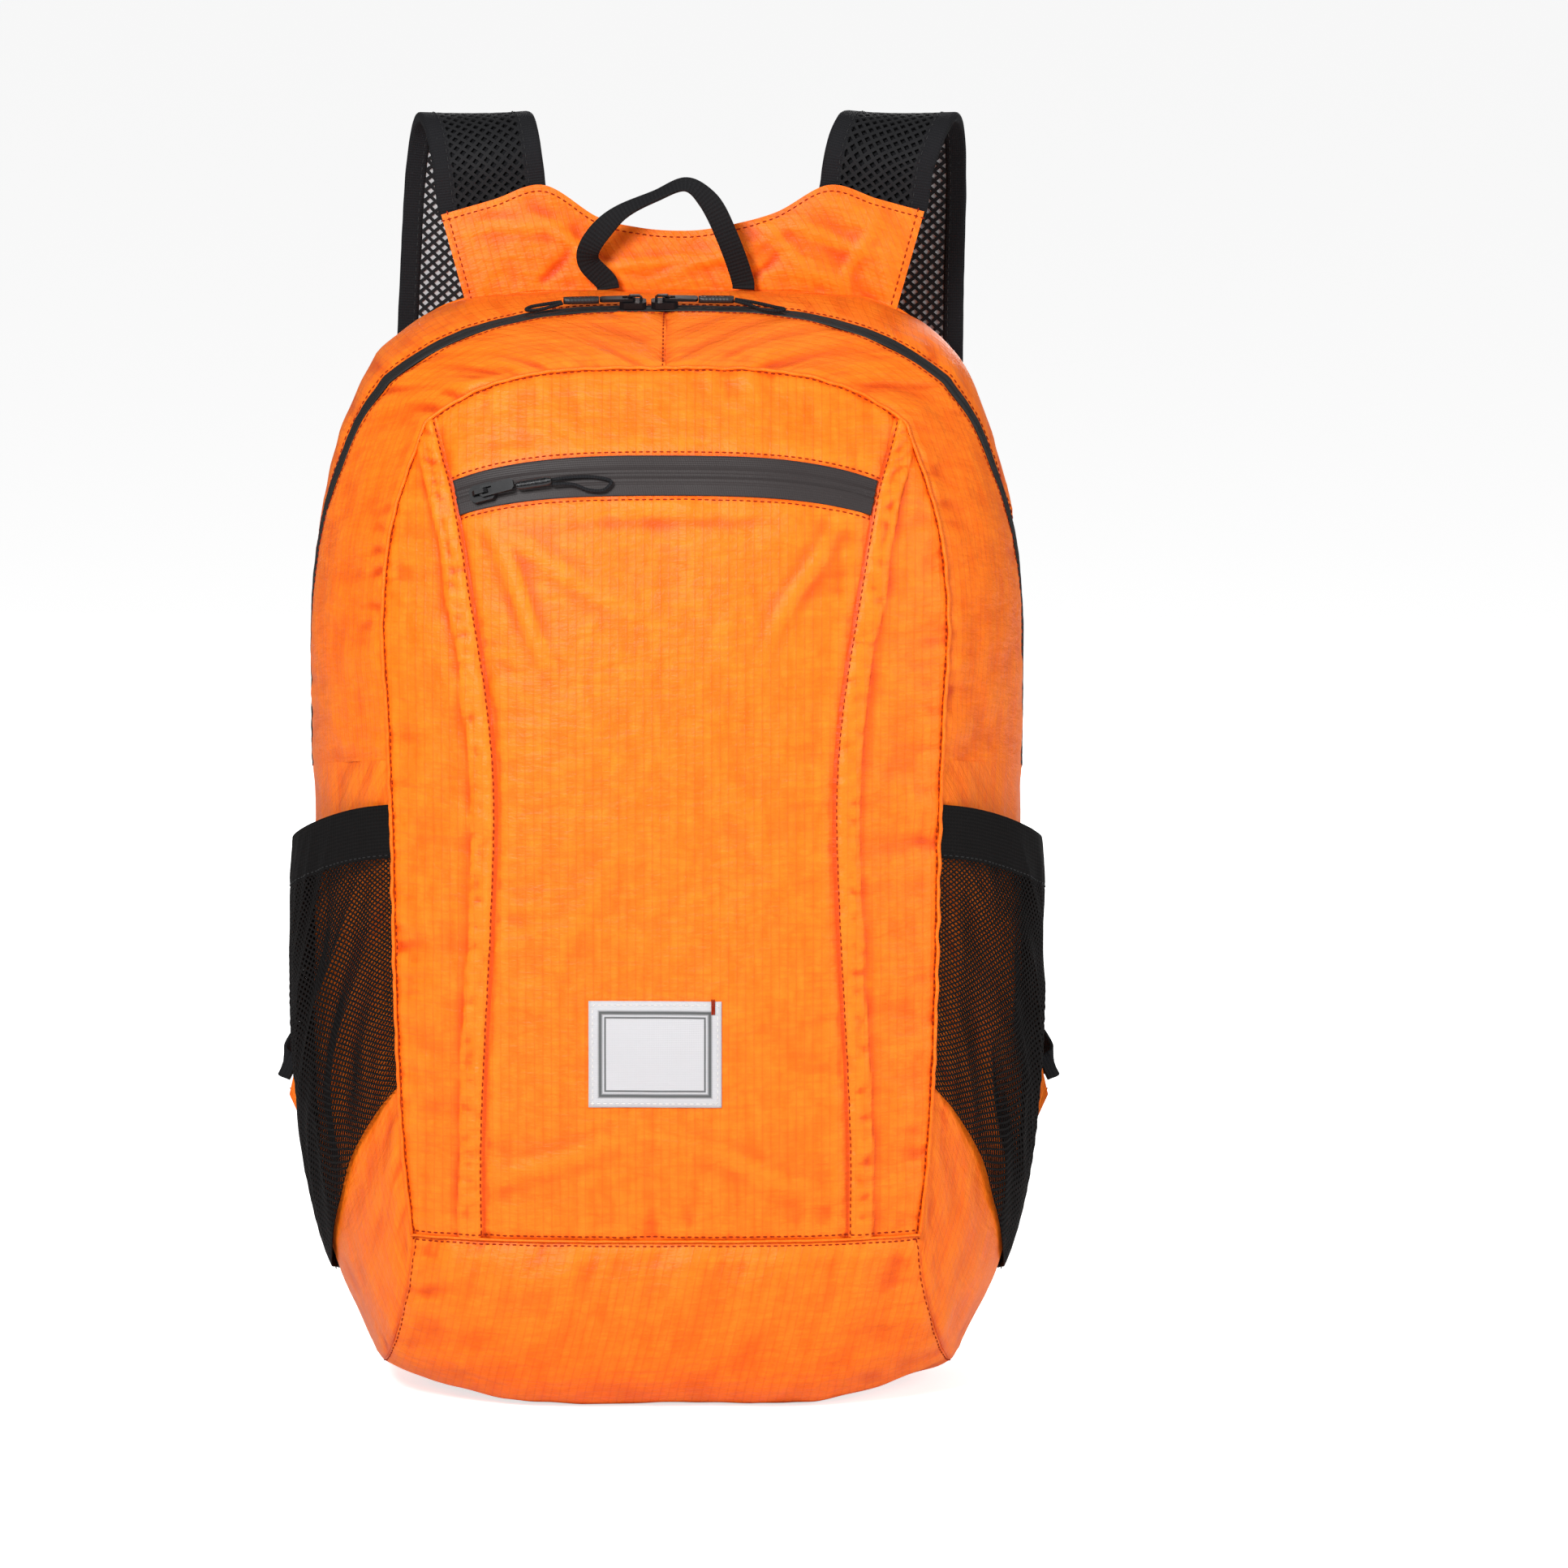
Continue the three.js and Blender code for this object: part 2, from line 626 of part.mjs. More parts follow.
// Side pockets: net, elastic hem and rear binding.
const netEnd = 0.985 - pocketBindingWidth / (frontReach + backReach);
for (const [side, hand] of [
  [-1, "left"],
  [1, "right"],
]) {
  const topOf = (across) => mix(pocketFrontHeight, pocketSideHeight, smooth(across / 0.7) * 0.4 + across * 0.6);
  const lowOf = (across) => pocketSideHeight * follow(pocketRows, "side", "up", across);
  const liftOf = (across, share) => pocketBulge * Math.sin(Math.PI * clamp(across)) ** 0.9 * (1 - (1 - share) ** 2.2);
  const surfaceAt = (across, height, rise) => {
    const run = sideAt(side, across, height);
    const point = gusset(side, run, across);
    const along = gusset(side, run + 1e-3, across).sub(point);
    const over = gusset(side, run, across + 1e-3).sub(point);
    const out = along.cross(over).normalize();
    if (out.x * side < 0) out.negate();
    return point.addScaledVector(out, rise);
  };
  const pocket = (fromOf, toOf, near, far, thickness) => (u, v) => {
    const across = mix(near, far, u);
    const height = mix(fromOf(across), toOf(across), v);
    const share = clamp((height - lowOf(across)) / (topOf(across) - lowOf(across)));
    return surfaceAt(across, height, seatGap + 0.2 + thickness + liftOf(across, share));
  };
  const hemLow = (across) => topOf(across) - pocketHemHeight;
  const netRows = [0, 0.12, 0.28, 0.46, 0.64, 0.82, 1];
  add(
    `pocket_net_${hand}`,
    patch(pocket(lowOf, hemLow, 0.012, netEnd, pocketThickness), [0, 0.17, 0.34, 0.5, 0.66, 0.83, 1], netRows, pocketThickness),
    black,
  );
  add(
    `pocket_hem_${hand}`,
    patch(pocket(hemLow, topOf, 0.012, 0.985, hemThickness), [0, 0.15, 0.3, 0.45, 0.6, 0.8, 1], [0, 1], hemThickness),
    black,
  );
  add(
    `pocket_binding_${hand}`,
    patch(pocket(lowOf, hemLow, netEnd, 0.985, hemThickness), [0, 1], netRows, hemThickness),
    black,
  );
}

// Yoke on the rear seam of the top.
const yokeFoot = bagHeight + 2 * seatGap;
const yoke = (u, v) => {
  const across = follow(yokeRows, "run", "across", u) * yokeHalfWidth;
  const foot = follow(yokeRows, "run", "foot", u) * yokeHalfWidth;
  const run = mix(1, cornerRun, clamp(Math.abs(foot) / rearSeam(1, cornerRun).x));
  const low = Math.min(yokeFoot, rearSeam(1, run).z + seatGap * mix(2, 6, smooth(Math.abs(u - 0.5) * 2)));
  const high = yokeFoot + yokeHeight * follow(yokeRows, "run", "up", u);
  const lean = 4 * v ** 2;
  return vec(mix(foot, across, v), backReach - 1 + lean, mix(low, high, v));
};
const yokeShares = [0, 0.1, 0.2, 0.25, 0.3, 0.4, 0.5, 0.6, 0.7, 0.75, 0.8, 0.9, 1];
add("yoke", patch(yoke, yokeShares, [0, 0.5, 1], yokeThickness, yokeThickness, 0.05), orange);

// Shoulder straps with bound edges, ladder locks, lower webbing and wing tabs.
for (const [side, hand, rows] of [
  [-1, "left", leftStrapRows],
  [1, "right", rightStrapRows],
]) {
  const line = rows.map(({ across, back, up }) =>
    vec(across * yokeHalfWidth, backReach + back * strapStandOff, bagHeight + up * strapArchHeight),
  );
  const slant = vec(1, 0, -side * 0.26);
  const plain = vec(1, 0, 0);
  const strapFrames = framesAlong(line, 42, (share) => slant.clone().lerp(plain, smooth(share / 0.12)));
  const meshHalf = strapWidth / 2 - strapBindingWidth;
  const half = strapThickness / 2;
  add(`shoulder_strap_${hand}`, sweep(strapFrames, bar(-meshHalf, meshHalf, -half, half)), black);
  for (const [edge, name] of [
    [side, "outer"],
    [-side, "inner"],
  ]) {
    const near = meshHalf + 1.5 * seamGap;
    const far = strapWidth / 2;
    const wide = edge < 0 ? [-far, -near] : [near, far];
    const section = bar(wide[0], wide[1], -bindingThickness / 2, bindingThickness / 2);
    add(`strap_binding_${hand}_${name}`, sweep(strapFrames, section), black);
  }

  // Ladder lock under the strap's end: a plate with two slots.
  const end = strapFrames[strapFrames.length - 1];
  const down = end.up.clone().cross(end.across).normalize();
  if (down.z > 0) down.negate();
  const lockShape = new THREE.Shape();
  const w = lockWidth / 2;
  lockShape.moveTo(-w, 0).lineTo(w, 0).lineTo(w, lockHeight).lineTo(-w, lockHeight).closePath();
  for (const low of [0.2, 0.6]) {
    const slot = new THREE.Path();
    const s = w - 4;
    slot.moveTo(-s, low * lockHeight).lineTo(-s, (low + 0.2) * lockHeight);
    slot.lineTo(s, (low + 0.2) * lockHeight).lineTo(s, low * lockHeight).closePath();
    lockShape.holes.push(slot);
  }
  const lock = new THREE.ExtrudeGeometry(lockShape, { depth: lockThickness, bevelEnabled: false });
  const lockTop = end.at.clone().addScaledVector(down, seatGap);
  const outward = end.across.clone().cross(down);
  lock.translate(0, 0, -lockThickness / 2);
  lock.applyMatrix4(new THREE.Matrix4().makeBasis(end.across, down, outward).setPosition(lockTop));
  add(`ladder_lock_${hand}`, lock, plastic);

  // Wing tab from the rear seam: a cloth triangle that ends in the webbing.
  const root = (share) => rearSeam(side, mix(0.115, 0.215, share)).add(vec(-side * seatGap, seatGap, 0));
  const tipLow = root(0.72).add(vec(side * tabReach, 5, 0));
  const tipHigh = root(1).add(vec(side * tabReach * 0.72, 7, 6));
  const wing = (u, v) => root(v).lerp(tipLow.clone().lerp(tipHigh, v), u);
  add(`wing_tab_${hand}`, patch(wing, [0, 1], [0, 0.5, 1], tabThickness, tabThickness / 2, 0.05), orange);

  const tip = tipLow.clone().lerp(tipHigh, 0.5).add(vec(side * 0.5, 0.2, 0.4));
  const hang = lockTop.clone().addScaledVector(down, lockHeight + seatGap);
  const below = hang.clone().addScaledVector(down, webbingWidth * 0.6);
  const webLine = webbingRows.map(({ way, out, back }) =>
    tip.clone().lerp(below, way).add(vec(side * out * tabReach, back * tabReach, 0)),
  );
  webLine.push(hang);
  const wide0 = tipHigh.clone().sub(tipLow).multiplyScalar(side).normalize();
  const webFrames = framesAlong(webLine, 18, (share) => wide0.clone().lerp(end.across, smooth(share * 1.4)));
  for (const [i, frame] of webFrames.entries()) {
    frame.scale = mix(0.5, 1, smooth(i / 5));
  }
  const webHalf = webbingWidth / 2;
  add(
    `lower_webbing_${hand}`,
    sweep(webFrames, bar(-webHalf, webHalf, -webbingThickness / 2, webbingThickness / 2)),
    black,
  );
}

// Haul handle: a loop of webbing in front of the yoke.
const handleSeat = gusset(1, 1, 0.93);
const handleLine = handleRows.map(({ across, forward, up }) =>
  vec(across * handleSpread, handleSeat.y - forward * handleHeight, handleSeat.z + 0.9 + up * handleHeight),
);
const handleFrames = framesAlong(handleLine, 28, (share, at, along) => vec(-along.z, 0, along.x));
add(
  "haul_handle",
  sweep(handleFrames, bar(-handleWidth / 2, handleWidth / 2, -handleThickness / 2, handleThickness / 2)),
  black,
);

// Label on the front panel.
const label = (u, v) => {
  const height = labelBottom + v * labelHeight;
  const up = (height - bottomSeamHeight) / (frontHeight - bottomSeamHeight);
  const half = halfFront * follow(frontRows, "up", "half", up);
  return frontFace((labelShift + (u - 0.5) * labelWidth) / half, up);
};
add(
  "label_patch",
  patch(label, [0, 0.33, 0.67, 1], [0, 0.33, 0.67, 1], labelThickness, labelThickness + seatGap, 0),
  white,
);

// Zip sliders, pullers, grips and cords, built flat and laid on the cloth.
const wasm = await Module();
wasm.setup();

function solid(geometry) {
  const plain = geometry.index ? geometry.toNonIndexed() : geometry;
  const source = plain.getAttribute("position");
  const keys = new Map();
  const points = [];
  const faces = [];
  for (let i = 0; i < source.count; i += 1) {
    const point = [source.getX(i), source.getY(i), source.getZ(i)];
    const key = point.map((value) => Math.round(value * 1e4)).join();
    if (!keys.has(key)) {
      keys.set(key, points.length / 3);
      points.push(...point);
    }
    faces.push(keys.get(key));
  }
  return new wasm.Manifold(
    new wasm.Mesh({ numProp: 3, vertProperties: new Float32Array(points), triVerts: new Uint32Array(faces) }),
  );
}

function geometryOf(body) {
  const mesh = body.getMesh();
  const geometry = new THREE.BufferGeometry();
  geometry.setAttribute("position", new THREE.BufferAttribute(new Float32Array(mesh.vertProperties), 3));
  geometry.setIndex(Array.from(mesh.triVerts));
  return geometry;
}

// Outline of a rounded bar, from x = 0 to length.
function roundedBar(length, width, corner) {
  const w = width / 2;
  const shape = new THREE.Shape();
  shape.moveTo(corner, -w).lineTo(length - corner, -w).lineTo(length, -w + corner);
  shape.lineTo(length, w - corner).lineTo(length - corner, w).lineTo(corner, w);
  shape.lineTo(0, w - corner).lineTo(0, -w + corner).closePath();
  return shape;
}

const extrude = (shape, depth) => new THREE.ExtrudeGeometry(shape, { depth, bevelEnabled: false });

// Slider: a flat body with a bridge whose window holds the puller's end bar.
function sliderGeometry() {
  const body = extrude(roundedBar(sliderLength, sliderWidth, 1.6), sliderHeight);
  const side = new THREE.Shape();
  const reach = sliderLength * 0.72;
  const near = sliderLength * 0.14;
  side.moveTo(near, -0.4).lineTo(reach, -0.4).lineTo(reach, bridgeHeight * 0.6);
  side.lineTo(reach - 1.2, bridgeHeight).lineTo(near + 1.2, bridgeHeight).lineTo(near, bridgeHeight * 0.6).closePath();
  const window_ = new THREE.Path();
  window_.moveTo(near + 1, 0).lineTo(near + 1, bridgeHeight - 0.7).lineTo(reach - 1, bridgeHeight - 0.7);
  window_.lineTo(reach - 1, 0).closePath();
  side.holes.push(window_);
  const bridge = extrude(side, 1.8);
  bridge.rotateX(Math.PI / 2);
  bridge.translate(0, 0.9, sliderHeight);
  return geometryOf(solid(body).add(solid(bridge)));
}

// Puller: a flat link with an eye round the bridge.
function pullerGeometry() {
  const shape = roundedBar(pullerLength, pullerWidth, 1);
  const eye = new THREE.Path();
  eye.moveTo(1.1, -1.3).lineTo(1.1, 1.3).lineTo(5, 1.3).lineTo(5, -1.3).closePath();
  shape.holes.push(eye);
  return extrude(shape, pullerThickness);
}

// Where the front zip and the main zip lie, with the way along them and the way out.
function zipFrame(pointAt, share) {
  const at = pointAt(share);
  const along = pointAt(share + 2e-3).sub(at).normalize();
  return { at, along };
}

const archMiddle = (u) => arch(u, zipSide);
function archAt(x) {
  let low = 0;
  let high = 1;
  for (let i = 0; i < 30; i += 1) {
    const middle = (low + high) / 2;
    if (archMiddle(middle).x < x) low = middle;
    else high = middle;
  }
  return low;
}

// Local axes on the main zip at x, pulled towards the given way (-1 or 1).
function mainAxes(x, way) {
  const u = archAt(x);
  const { at, along } = zipFrame(archMiddle, u);
  const over = arch(u, (run) => zipSide(run) + 0.02).sub(arch(u, (run) => zipSide(run) - 0.02));
  const out = along.clone().cross(over).normalize();
  if (out.z < 0) out.negate();
  const forward = along.multiplyScalar(way);
  return { at, forward, cross: out.clone().cross(forward).normalize(), out };
}

function frontAxes(x, way) {
  const half = halfFront * 0.965;
  const pointAt = (across) => {
    const middle = (zipLow(across) + zipHigh(across)) / 2;
    return frontFace(across, middle - 0.006);
  };
  const { at, along } = zipFrame(pointAt, x / half);
  const upWay = frontFace(x / half, zipHigh(0)).sub(frontFace(x / half, zipLow(0)));
  const out = along.clone().cross(upWay).normalize();
  if (out.y > 0) out.negate();
  const forward = along.multiplyScalar(way);
  return { at, forward, cross: out.clone().cross(forward).normalize(), out };
}

function lay(geometry, axes, lift) {
  const seat = axes.at.clone().addScaledVector(axes.out, lift);
  geometry.applyMatrix4(new THREE.Matrix4().makeBasis(axes.forward, axes.cross, axes.out).setPosition(seat));
  return geometry;
}

const sliderLift = seatGap + 0.1;
const pullerStart = sliderLength * 0.42;
const pullerTilt = 0.02;

// Middle of a cord that lies on the cloth.
const cordRest = seatGap + cordDiameter / 2 + 0.4;

// Pace is how far the zip goes across the bag for each millimetre along it.
// Route of each cord past its grip: millimetres along the zip and across it, and how far it has yet to
// come down from the grip (1) to the cloth (0).
const pulls = [
  {
    name: "front",
    axes: frontAxes,
    start: -75,
    way: 1,
    pace: 0.95,
    route: [
      [0, 0.9, 1],
      [8, 1.6, 0.35],
      [17, 1, 0],
      [23, -1.4, 0],
      [20, -4.4, 0],
      [14, -4, 0.1],
      [8, -1.4, 0.4],
      [0, -0.9, 1],
    ],
  },
  {
    name: "main_left",
    axes: mainAxes,
    start: -8,
    way: -1,
    pace: 0.999,
    route: [
      [0, 0.9, 1],
      [7, 2.2, 0.6],
      [12.5, 2, 0.4],
      [14.5, 0, 0.35],
      [12.5, -2, 0.4],
      [7, -2.2, 0.6],
      [0, -0.9, 1],
    ],
  },
  {
    name: "main_right",
    axes: mainAxes,
    start: -6,
    way: 1,
    pace: 0.999,
    route: [
      [0, 0.9, 1],
      [8, 1.2, 0.4],
      [16, -1, 0],
      [20, -3.4, 0],
      [17, -6, 0],
      [11, -5, 0.1],
      [6, -2.2, 0.5],
      [0, -0.9, 1],
    ],
  },
];

for (const { name, axes, start, way, pace, route } of pulls) {
  const at = (along) => axes(start + way * along * pace, way);
  add(`slider_${name}`, lay(sliderGeometry(), at(0), sliderLift), plastic);
  const puller = pullerGeometry();
  puller.rotateY(pullerTilt);
  const pullerLift = sliderLift + sliderHeight + 0.25;
  add(`puller_${name}`, lay(puller.translate(pullerStart, 0, 0), at(0), pullerLift), plastic);

  const gripStart = pullerStart + pullerLength + seatGap;
  const gripLift = pullerLift + (pullerThickness - gripThickness) / 2 - pullerTilt * pullerLength;
  const gripAxes = at(gripStart);
  const grip = extrude(roundedBar(gripLength, gripWidth, 1.1), gripThickness);
  add(`grip_${name}`, lay(grip, gripAxes, gripLift), black);

  const cordAxes = at(gripStart + gripLength + seatGap);
  const line = route.map(([along, across, up]) =>
    cordAxes.at
      .clone()
      .addScaledVector(cordAxes.forward, along)
      .addScaledVector(cordAxes.cross, across)
      .addScaledVector(cordAxes.out, mix(cordRest, gripLift + gripThickness / 2, up)),
  );
  const ring = Array.from({ length: 8 }, (_, i) => {
    const turn = (i / 8) * 2 * Math.PI;
    return [(Math.cos(turn) * cordDiameter) / 2, (Math.sin(turn) * cordDiameter) / 2];
  });
  const frames = framesAlong(line, 26, (share, point, along) => cordAxes.out.clone().cross(along));
  add(`pull_cord_${name}`, sweep(frames, ring), black);
}

export default group;
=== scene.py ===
import math
import bpy
import numpy as np
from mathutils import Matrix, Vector


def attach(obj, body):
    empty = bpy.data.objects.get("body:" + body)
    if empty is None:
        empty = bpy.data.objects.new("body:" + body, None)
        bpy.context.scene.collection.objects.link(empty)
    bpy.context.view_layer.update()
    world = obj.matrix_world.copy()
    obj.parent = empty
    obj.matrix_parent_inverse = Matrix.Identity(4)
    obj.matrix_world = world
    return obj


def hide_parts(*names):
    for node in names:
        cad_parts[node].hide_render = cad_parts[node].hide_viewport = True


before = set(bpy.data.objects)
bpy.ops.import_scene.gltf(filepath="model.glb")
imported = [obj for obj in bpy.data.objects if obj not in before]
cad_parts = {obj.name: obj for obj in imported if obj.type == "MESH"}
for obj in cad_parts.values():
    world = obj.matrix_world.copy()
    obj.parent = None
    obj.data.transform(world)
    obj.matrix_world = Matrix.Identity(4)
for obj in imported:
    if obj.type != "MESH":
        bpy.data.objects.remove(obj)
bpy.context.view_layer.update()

# Packable daypack of ripstop nylon, in metres. Front faces -Y, the base stands on z = 0.
# The body's surface is worked out from the same tables as the solids, then cut finer and creased.

mm = 0.001
sides = ((-1, "left"), (1, "right"))


def addObject(name, data):
    body = bpy.data.objects.new(name, data)
    bpy.context.collection.objects.link(body)
    return body


# Camera and light.
photo = {"lens": 300, "distance": 5.151, "aim": (0.0464, -0.02, 0.2435), "lookDown": 8.0}
look = math.radians(photo["lookDown"])
camera = addObject("camera", bpy.data.cameras.new("camera"))
camera.data.lens = photo["lens"]
camera.data.sensor_width = 36
camera.location = Vector(photo["aim"]) + Vector((0, -math.cos(look), math.sin(look))) * photo["distance"]
camera.rotation_euler = (math.pi / 2 - look, 0, 0)
bpy.context.scene.camera = camera

studio = {
    "world": (1.0, 1.0, 1.0), "worldStrength": 0.23, "backdrop": 1.0,
    # name, place, aim, size, power
    "lamps": [
        ("keyLamp", (-0.45, -1.15, 0.95), (0, 0, 0.3), 0.45, 20.5),
        ("fillLamp", (1.6, -0.9, 0.8), (0, 0, 0.25), 1.2, 15),
        ("topLamp", (0.1, 0.3, 2.2), (0, 0, 0.2), 1.2, 6),
        ("rearLamp", (0.2, 2.1, 0.9), (0, 0, 0.25), 1.2, 20),
    ],
}


def buildStage():
    world = bpy.data.worlds.new("paleStudio")
    world.use_nodes = True
    tree = world.node_tree
    background = tree.nodes["Background"].inputs
    background["Color"].default_value = (*studio["world"], 1)
    seen = tree.nodes.new("ShaderNodeLightPath").outputs["Is Camera Ray"]
    strength = tree.nodes.new("ShaderNodeMix")
    strength.inputs["A"].default_value = studio["worldStrength"]
    strength.inputs["B"].default_value = studio["backdrop"]
    tree.links.new(seen, strength.inputs["Factor"])
    tree.links.new(strength.outputs["Result"], background["Strength"])
    bpy.context.scene.world = world
    bpy.context.scene.view_settings.view_transform = "Standard"
    for name, place, aim, size, power in studio["lamps"]:
        lamp = bpy.data.lights.new(name, "AREA")
        lamp.shape = "DISK"
        lamp.size = size
        lamp.energy = power
        body = addObject(name, lamp)
        body.location = place
        body.rotation_euler = (Vector(aim) - Vector(place)).to_track_quat("-Z", "Y").to_euler()


print("stage: camera and light")
buildStage()


# Tables of the bag's form.
size = {
    "height": 430, "width": 280, "frontWidth": 222, "frontHeight": 410, "frontReach": 78, "backReach": 64,
    "bottomSeam": 70, "cornerDrop": 22, "sideBulge": 17, "topBulge": 9, "backBulge": 6, "zipHeight": 14.4,
    "zipDrop": 49.4, "mainZip": 6.4, "zipEnd": 0.46, "cornerRun": 0.78,
}


def table(names, *rows):
    return dict(zip(names.split(), np.array(rows, float).T))


frontTable = table(
    "up half middle edge",
    (0, 0.9, 0.95, 0.75), (0.12, 0.935, 0.99, 0.745), (0.3, 0.957, 1, 0.72), (0.5, 0.968, 0.975, 0.69),
    (0.65, 0.985, 0.92, 0.65), (0.76, 1, 0.85, 0.6), (0.88, 0.965, 0.73, 0.53), (1, 0.85, 0.44, 0.42),
)
princessTable = table(
    "up across",
    (0, 0.71), (0.2, 0.665), (0.38, 0.625), (0.55, 0.61), (0.7, 0.65), (0.8, 0.7), (0.86, 0.745),
    (0.9, 0.79), (1, 0.955),
)
backTable = table(
    "run across up back",
    (0, 0.825, 0.028, 0.96), (0.06, 0.93, 0.085, 1), (0.15, 0.968, 0.2, 1.02), (0.3, 0.965, 0.37, 1.03),
    (0.45, 0.965, 0.54, 1.03), (0.6, 0.95, 0.735, 1.02), (0.7, 0.885, 0.86, 1.01), (0.78, 0.78, 0.945, 1),
    (0.86, 0.6, 0.99, 1), (0.93, 0.3, 1, 1), (1, 0, 1, 1),
)
zipTable = table(
    "run side",
    (0.4, 0.67), (0.6, 0.6), (0.7, 0.44), (0.74, 0.405), (0.78, 0.335), (0.82, 0.325), (0.86, 0.357),
    (0.9, 0.426), (0.94, 0.465), (1, 0.485),
)
lowerTable = table(
    "side across back up",
    (0, 0.714, -0.75, 1), (0.15, 0.735, -0.69, 0.67), (0.3, 0.77, -0.54, 0.38), (0.45, 0.802, -0.28, 0.2),
    (0.6, 0.82, 0.06, 0.14), (0.8, 0.828, 0.44, 0.14), (1, 0.825, 0.788, 0.172),
)
baseTable = table(
    "side back up",
    (0, -0.95, 1), (0.1, -0.985, 0.76), (0.2, -0.95, 0.46), (0.3, -0.85, 0.2), (0.38, -0.69, 0.04),
    (0.44, -0.52, 0), (0.6, -0.05, 0), (0.8, 0.45, 0), (0.9, 0.66, 0.035), (1, 0.788, 0.172),
)
pocketTable = table("side up", (0, 0.617), (0.25, 0.465), (0.38, 0.36), (0.6, 0.235), (1, 0.17))
yokeTable = table(
    "run across up foot",
    (0, -0.97, 0.7, -0.86), (0.1, -0.75, 0.84, -0.68), (0.2, -0.53, 0.98, -0.5), (0.3, -0.3, 0.68, -0.3),
    (0.4, -0.12, 0.58, -0.12), (0.5, 0.05, 0.55, 0.05), (0.6, 0.21, 0.58, 0.2), (0.7, 0.46, 0.72, 0.38),
    (0.8, 0.69, 0.98, 0.58), (0.9, 0.9, 0.85, 0.78), (1, 1.1, 0.73, 0.97),
)


# Arrays of points.
def together(a, b):
    return np.broadcast_arrays(np.asarray(a, float), np.asarray(b, float))


def mix(a, b, share):
    return a + (b - a) * share


def smooth(value):
    t = np.clip(value, 0, 1)
    return t * t * (3 - 2 * t)


def unit(vectors):
    return vectors / np.maximum(np.linalg.norm(vectors, axis=-1, keepdims=True), 1e-12)


# Smooth curve through one column of a table, read by its first column.
def follow(rows, column, at):
    keys, values = next(iter(rows.values())), rows[column]
    at = np.asarray(at, float)
    last = len(keys) - 1
    i = np.clip(np.searchsorted(keys, at, side="left") - 1, 0, last - 1)
    j = i + 1
    h, k = np.maximum(i - 1, 0), np.minimum(i + 2, last)
    width = keys[j] - keys[i]
    s = np.clip((at - keys[i]) / width, 0, 1)
    a = (values[j] - values[h]) / np.maximum(keys[j] - keys[h], 1e-6) * width
    b = (values[k] - values[i]) / np.maximum(keys[k] - keys[i], 1e-6) * width
    s2, s3 = s * s, s * s * s
    return (2 * s3 - 3 * s2 + 1) * values[i] + (s3 - 2 * s2 + s) * a + (3 * s2 - 2 * s3) * values[j] + (s3 - s2) * b


def shareGrid(columns, rows):
    return np.meshgrid(np.linspace(0, 1, columns), np.linspace(0, 1, rows))


def points(x, y, z):
    return np.stack(np.broadcast_arrays(x, y, z), axis=-1).astype(float)


def frontFace(across, up):
    across, up = together(across, up)
    side = np.abs(across)
    top = size["frontHeight"] - size["cornerDrop"] * side ** 3.6
    reach = mix(follow(frontTable, "middle", up), follow(frontTable, "edge", up), side ** 3.2)
    return points(
        across * size["frontWidth"] / 2 * follow(frontTable, "half", up),
        -size["frontReach"] * reach,
        mix(size["bottomSeam"], top, up),
    )


def princess(up):
    return follow(princessTable, "across", up)


def frontSeam(side, run):
    run = np.asarray(run, float)
    corner = size["cornerRun"]
    across = np.where(run < corner, side, side * (1 - run) / (1 - corner))
    return frontFace(across, np.minimum(run / corner, 1))


def seamPoints(side, rows, at, reach, height):
    across, back, up = (follow(rows, column, at) for column in ("across", "back", "up"))
    return points(side * size["width"] / 2 * across, size[reach] * back, size[height] * up)


def rearSeam(side, run):
    return seamPoints(side, backTable, run, "backReach", "height")


def lowerSeam(side, across):
    return seamPoints(side, lowerTable, across, "frontReach", "bottomSeam")


def looseGusset(side, run, across):
    run, across = together(run, across)
    front, rear = frontSeam(side, run), rearSeam(side, run)
    along = rearSeam(side, np.minimum(run + 0.02, 1)) - rearSeam(side, np.maximum(run - 0.02, 0))
    along[..., 1] = 0
    along = unit(along)
    out = points(side * along[..., 2], 0, -side * along[..., 0])
    push = mix(size["topBulge"], size["sideBulge"], np.abs(out[..., 0])) * np.sin(np.pi * across)
    return mix(front, rear, across[..., None]) + out * push[..., None]


def gusset(side, run, across):
    run, across = together(run, across)
    fade = (1 - np.clip(run / 0.26, 0, 1)) ** 3
    foot = lowerSeam(side, across) - looseGusset(side, 0, across)
    miss = mix(lowerSeam(side, 0) - frontSeam(side, 0), lowerSeam(side, 1) - rearSeam(side, 0), across[..., None])
    return looseGusset(side, run, across) + (foot - miss) * fade[..., None]


def zipSide(run):
    return follow(zipTable, "side", run)


def zipHalf(run):
    return size["mainZip"] / 2 / (np.linalg.norm(frontSeam(-1, run) - rearSeam(-1, run), axis=-1) * 1.05)


def sideRun(side, across, height):
    across, height = together(across, height)
    low, high = np.zeros(across.shape), np.full(across.shape, size["cornerRun"])
    for _ in range(22):
        middle = (low + high) / 2
        under = gusset(side, middle, across)[..., 2] < height
        low, high = np.where(under, middle, low), np.where(under, high, middle)
    return (low + high) / 2


def basePanel(across, side):
    across, side = together(across, side)
    edge = gusset(1, 0, side)
    weight = np.clip((np.abs(across) - 0.35) / 0.65, 0, 1) ** 2.2
    here = points(
        across * edge[..., 0],
        mix(size["frontReach"] * follow(baseTable, "back", side), edge[..., 1], weight),
        mix(size["bottomSeam"] * follow(baseTable, "up", side), edge[..., 2], weight),
    )
    corner = gusset(1, 0, 0)
    start = points(
        across * corner[..., 0],
        mix(-0.95 * size["frontReach"], corner[..., 1], weight),
        size["bottomSeam"] + 0 * across,
    )
    return here + (frontFace(across, 0) - start) * (1 - smooth(side / 0.3))[..., None]


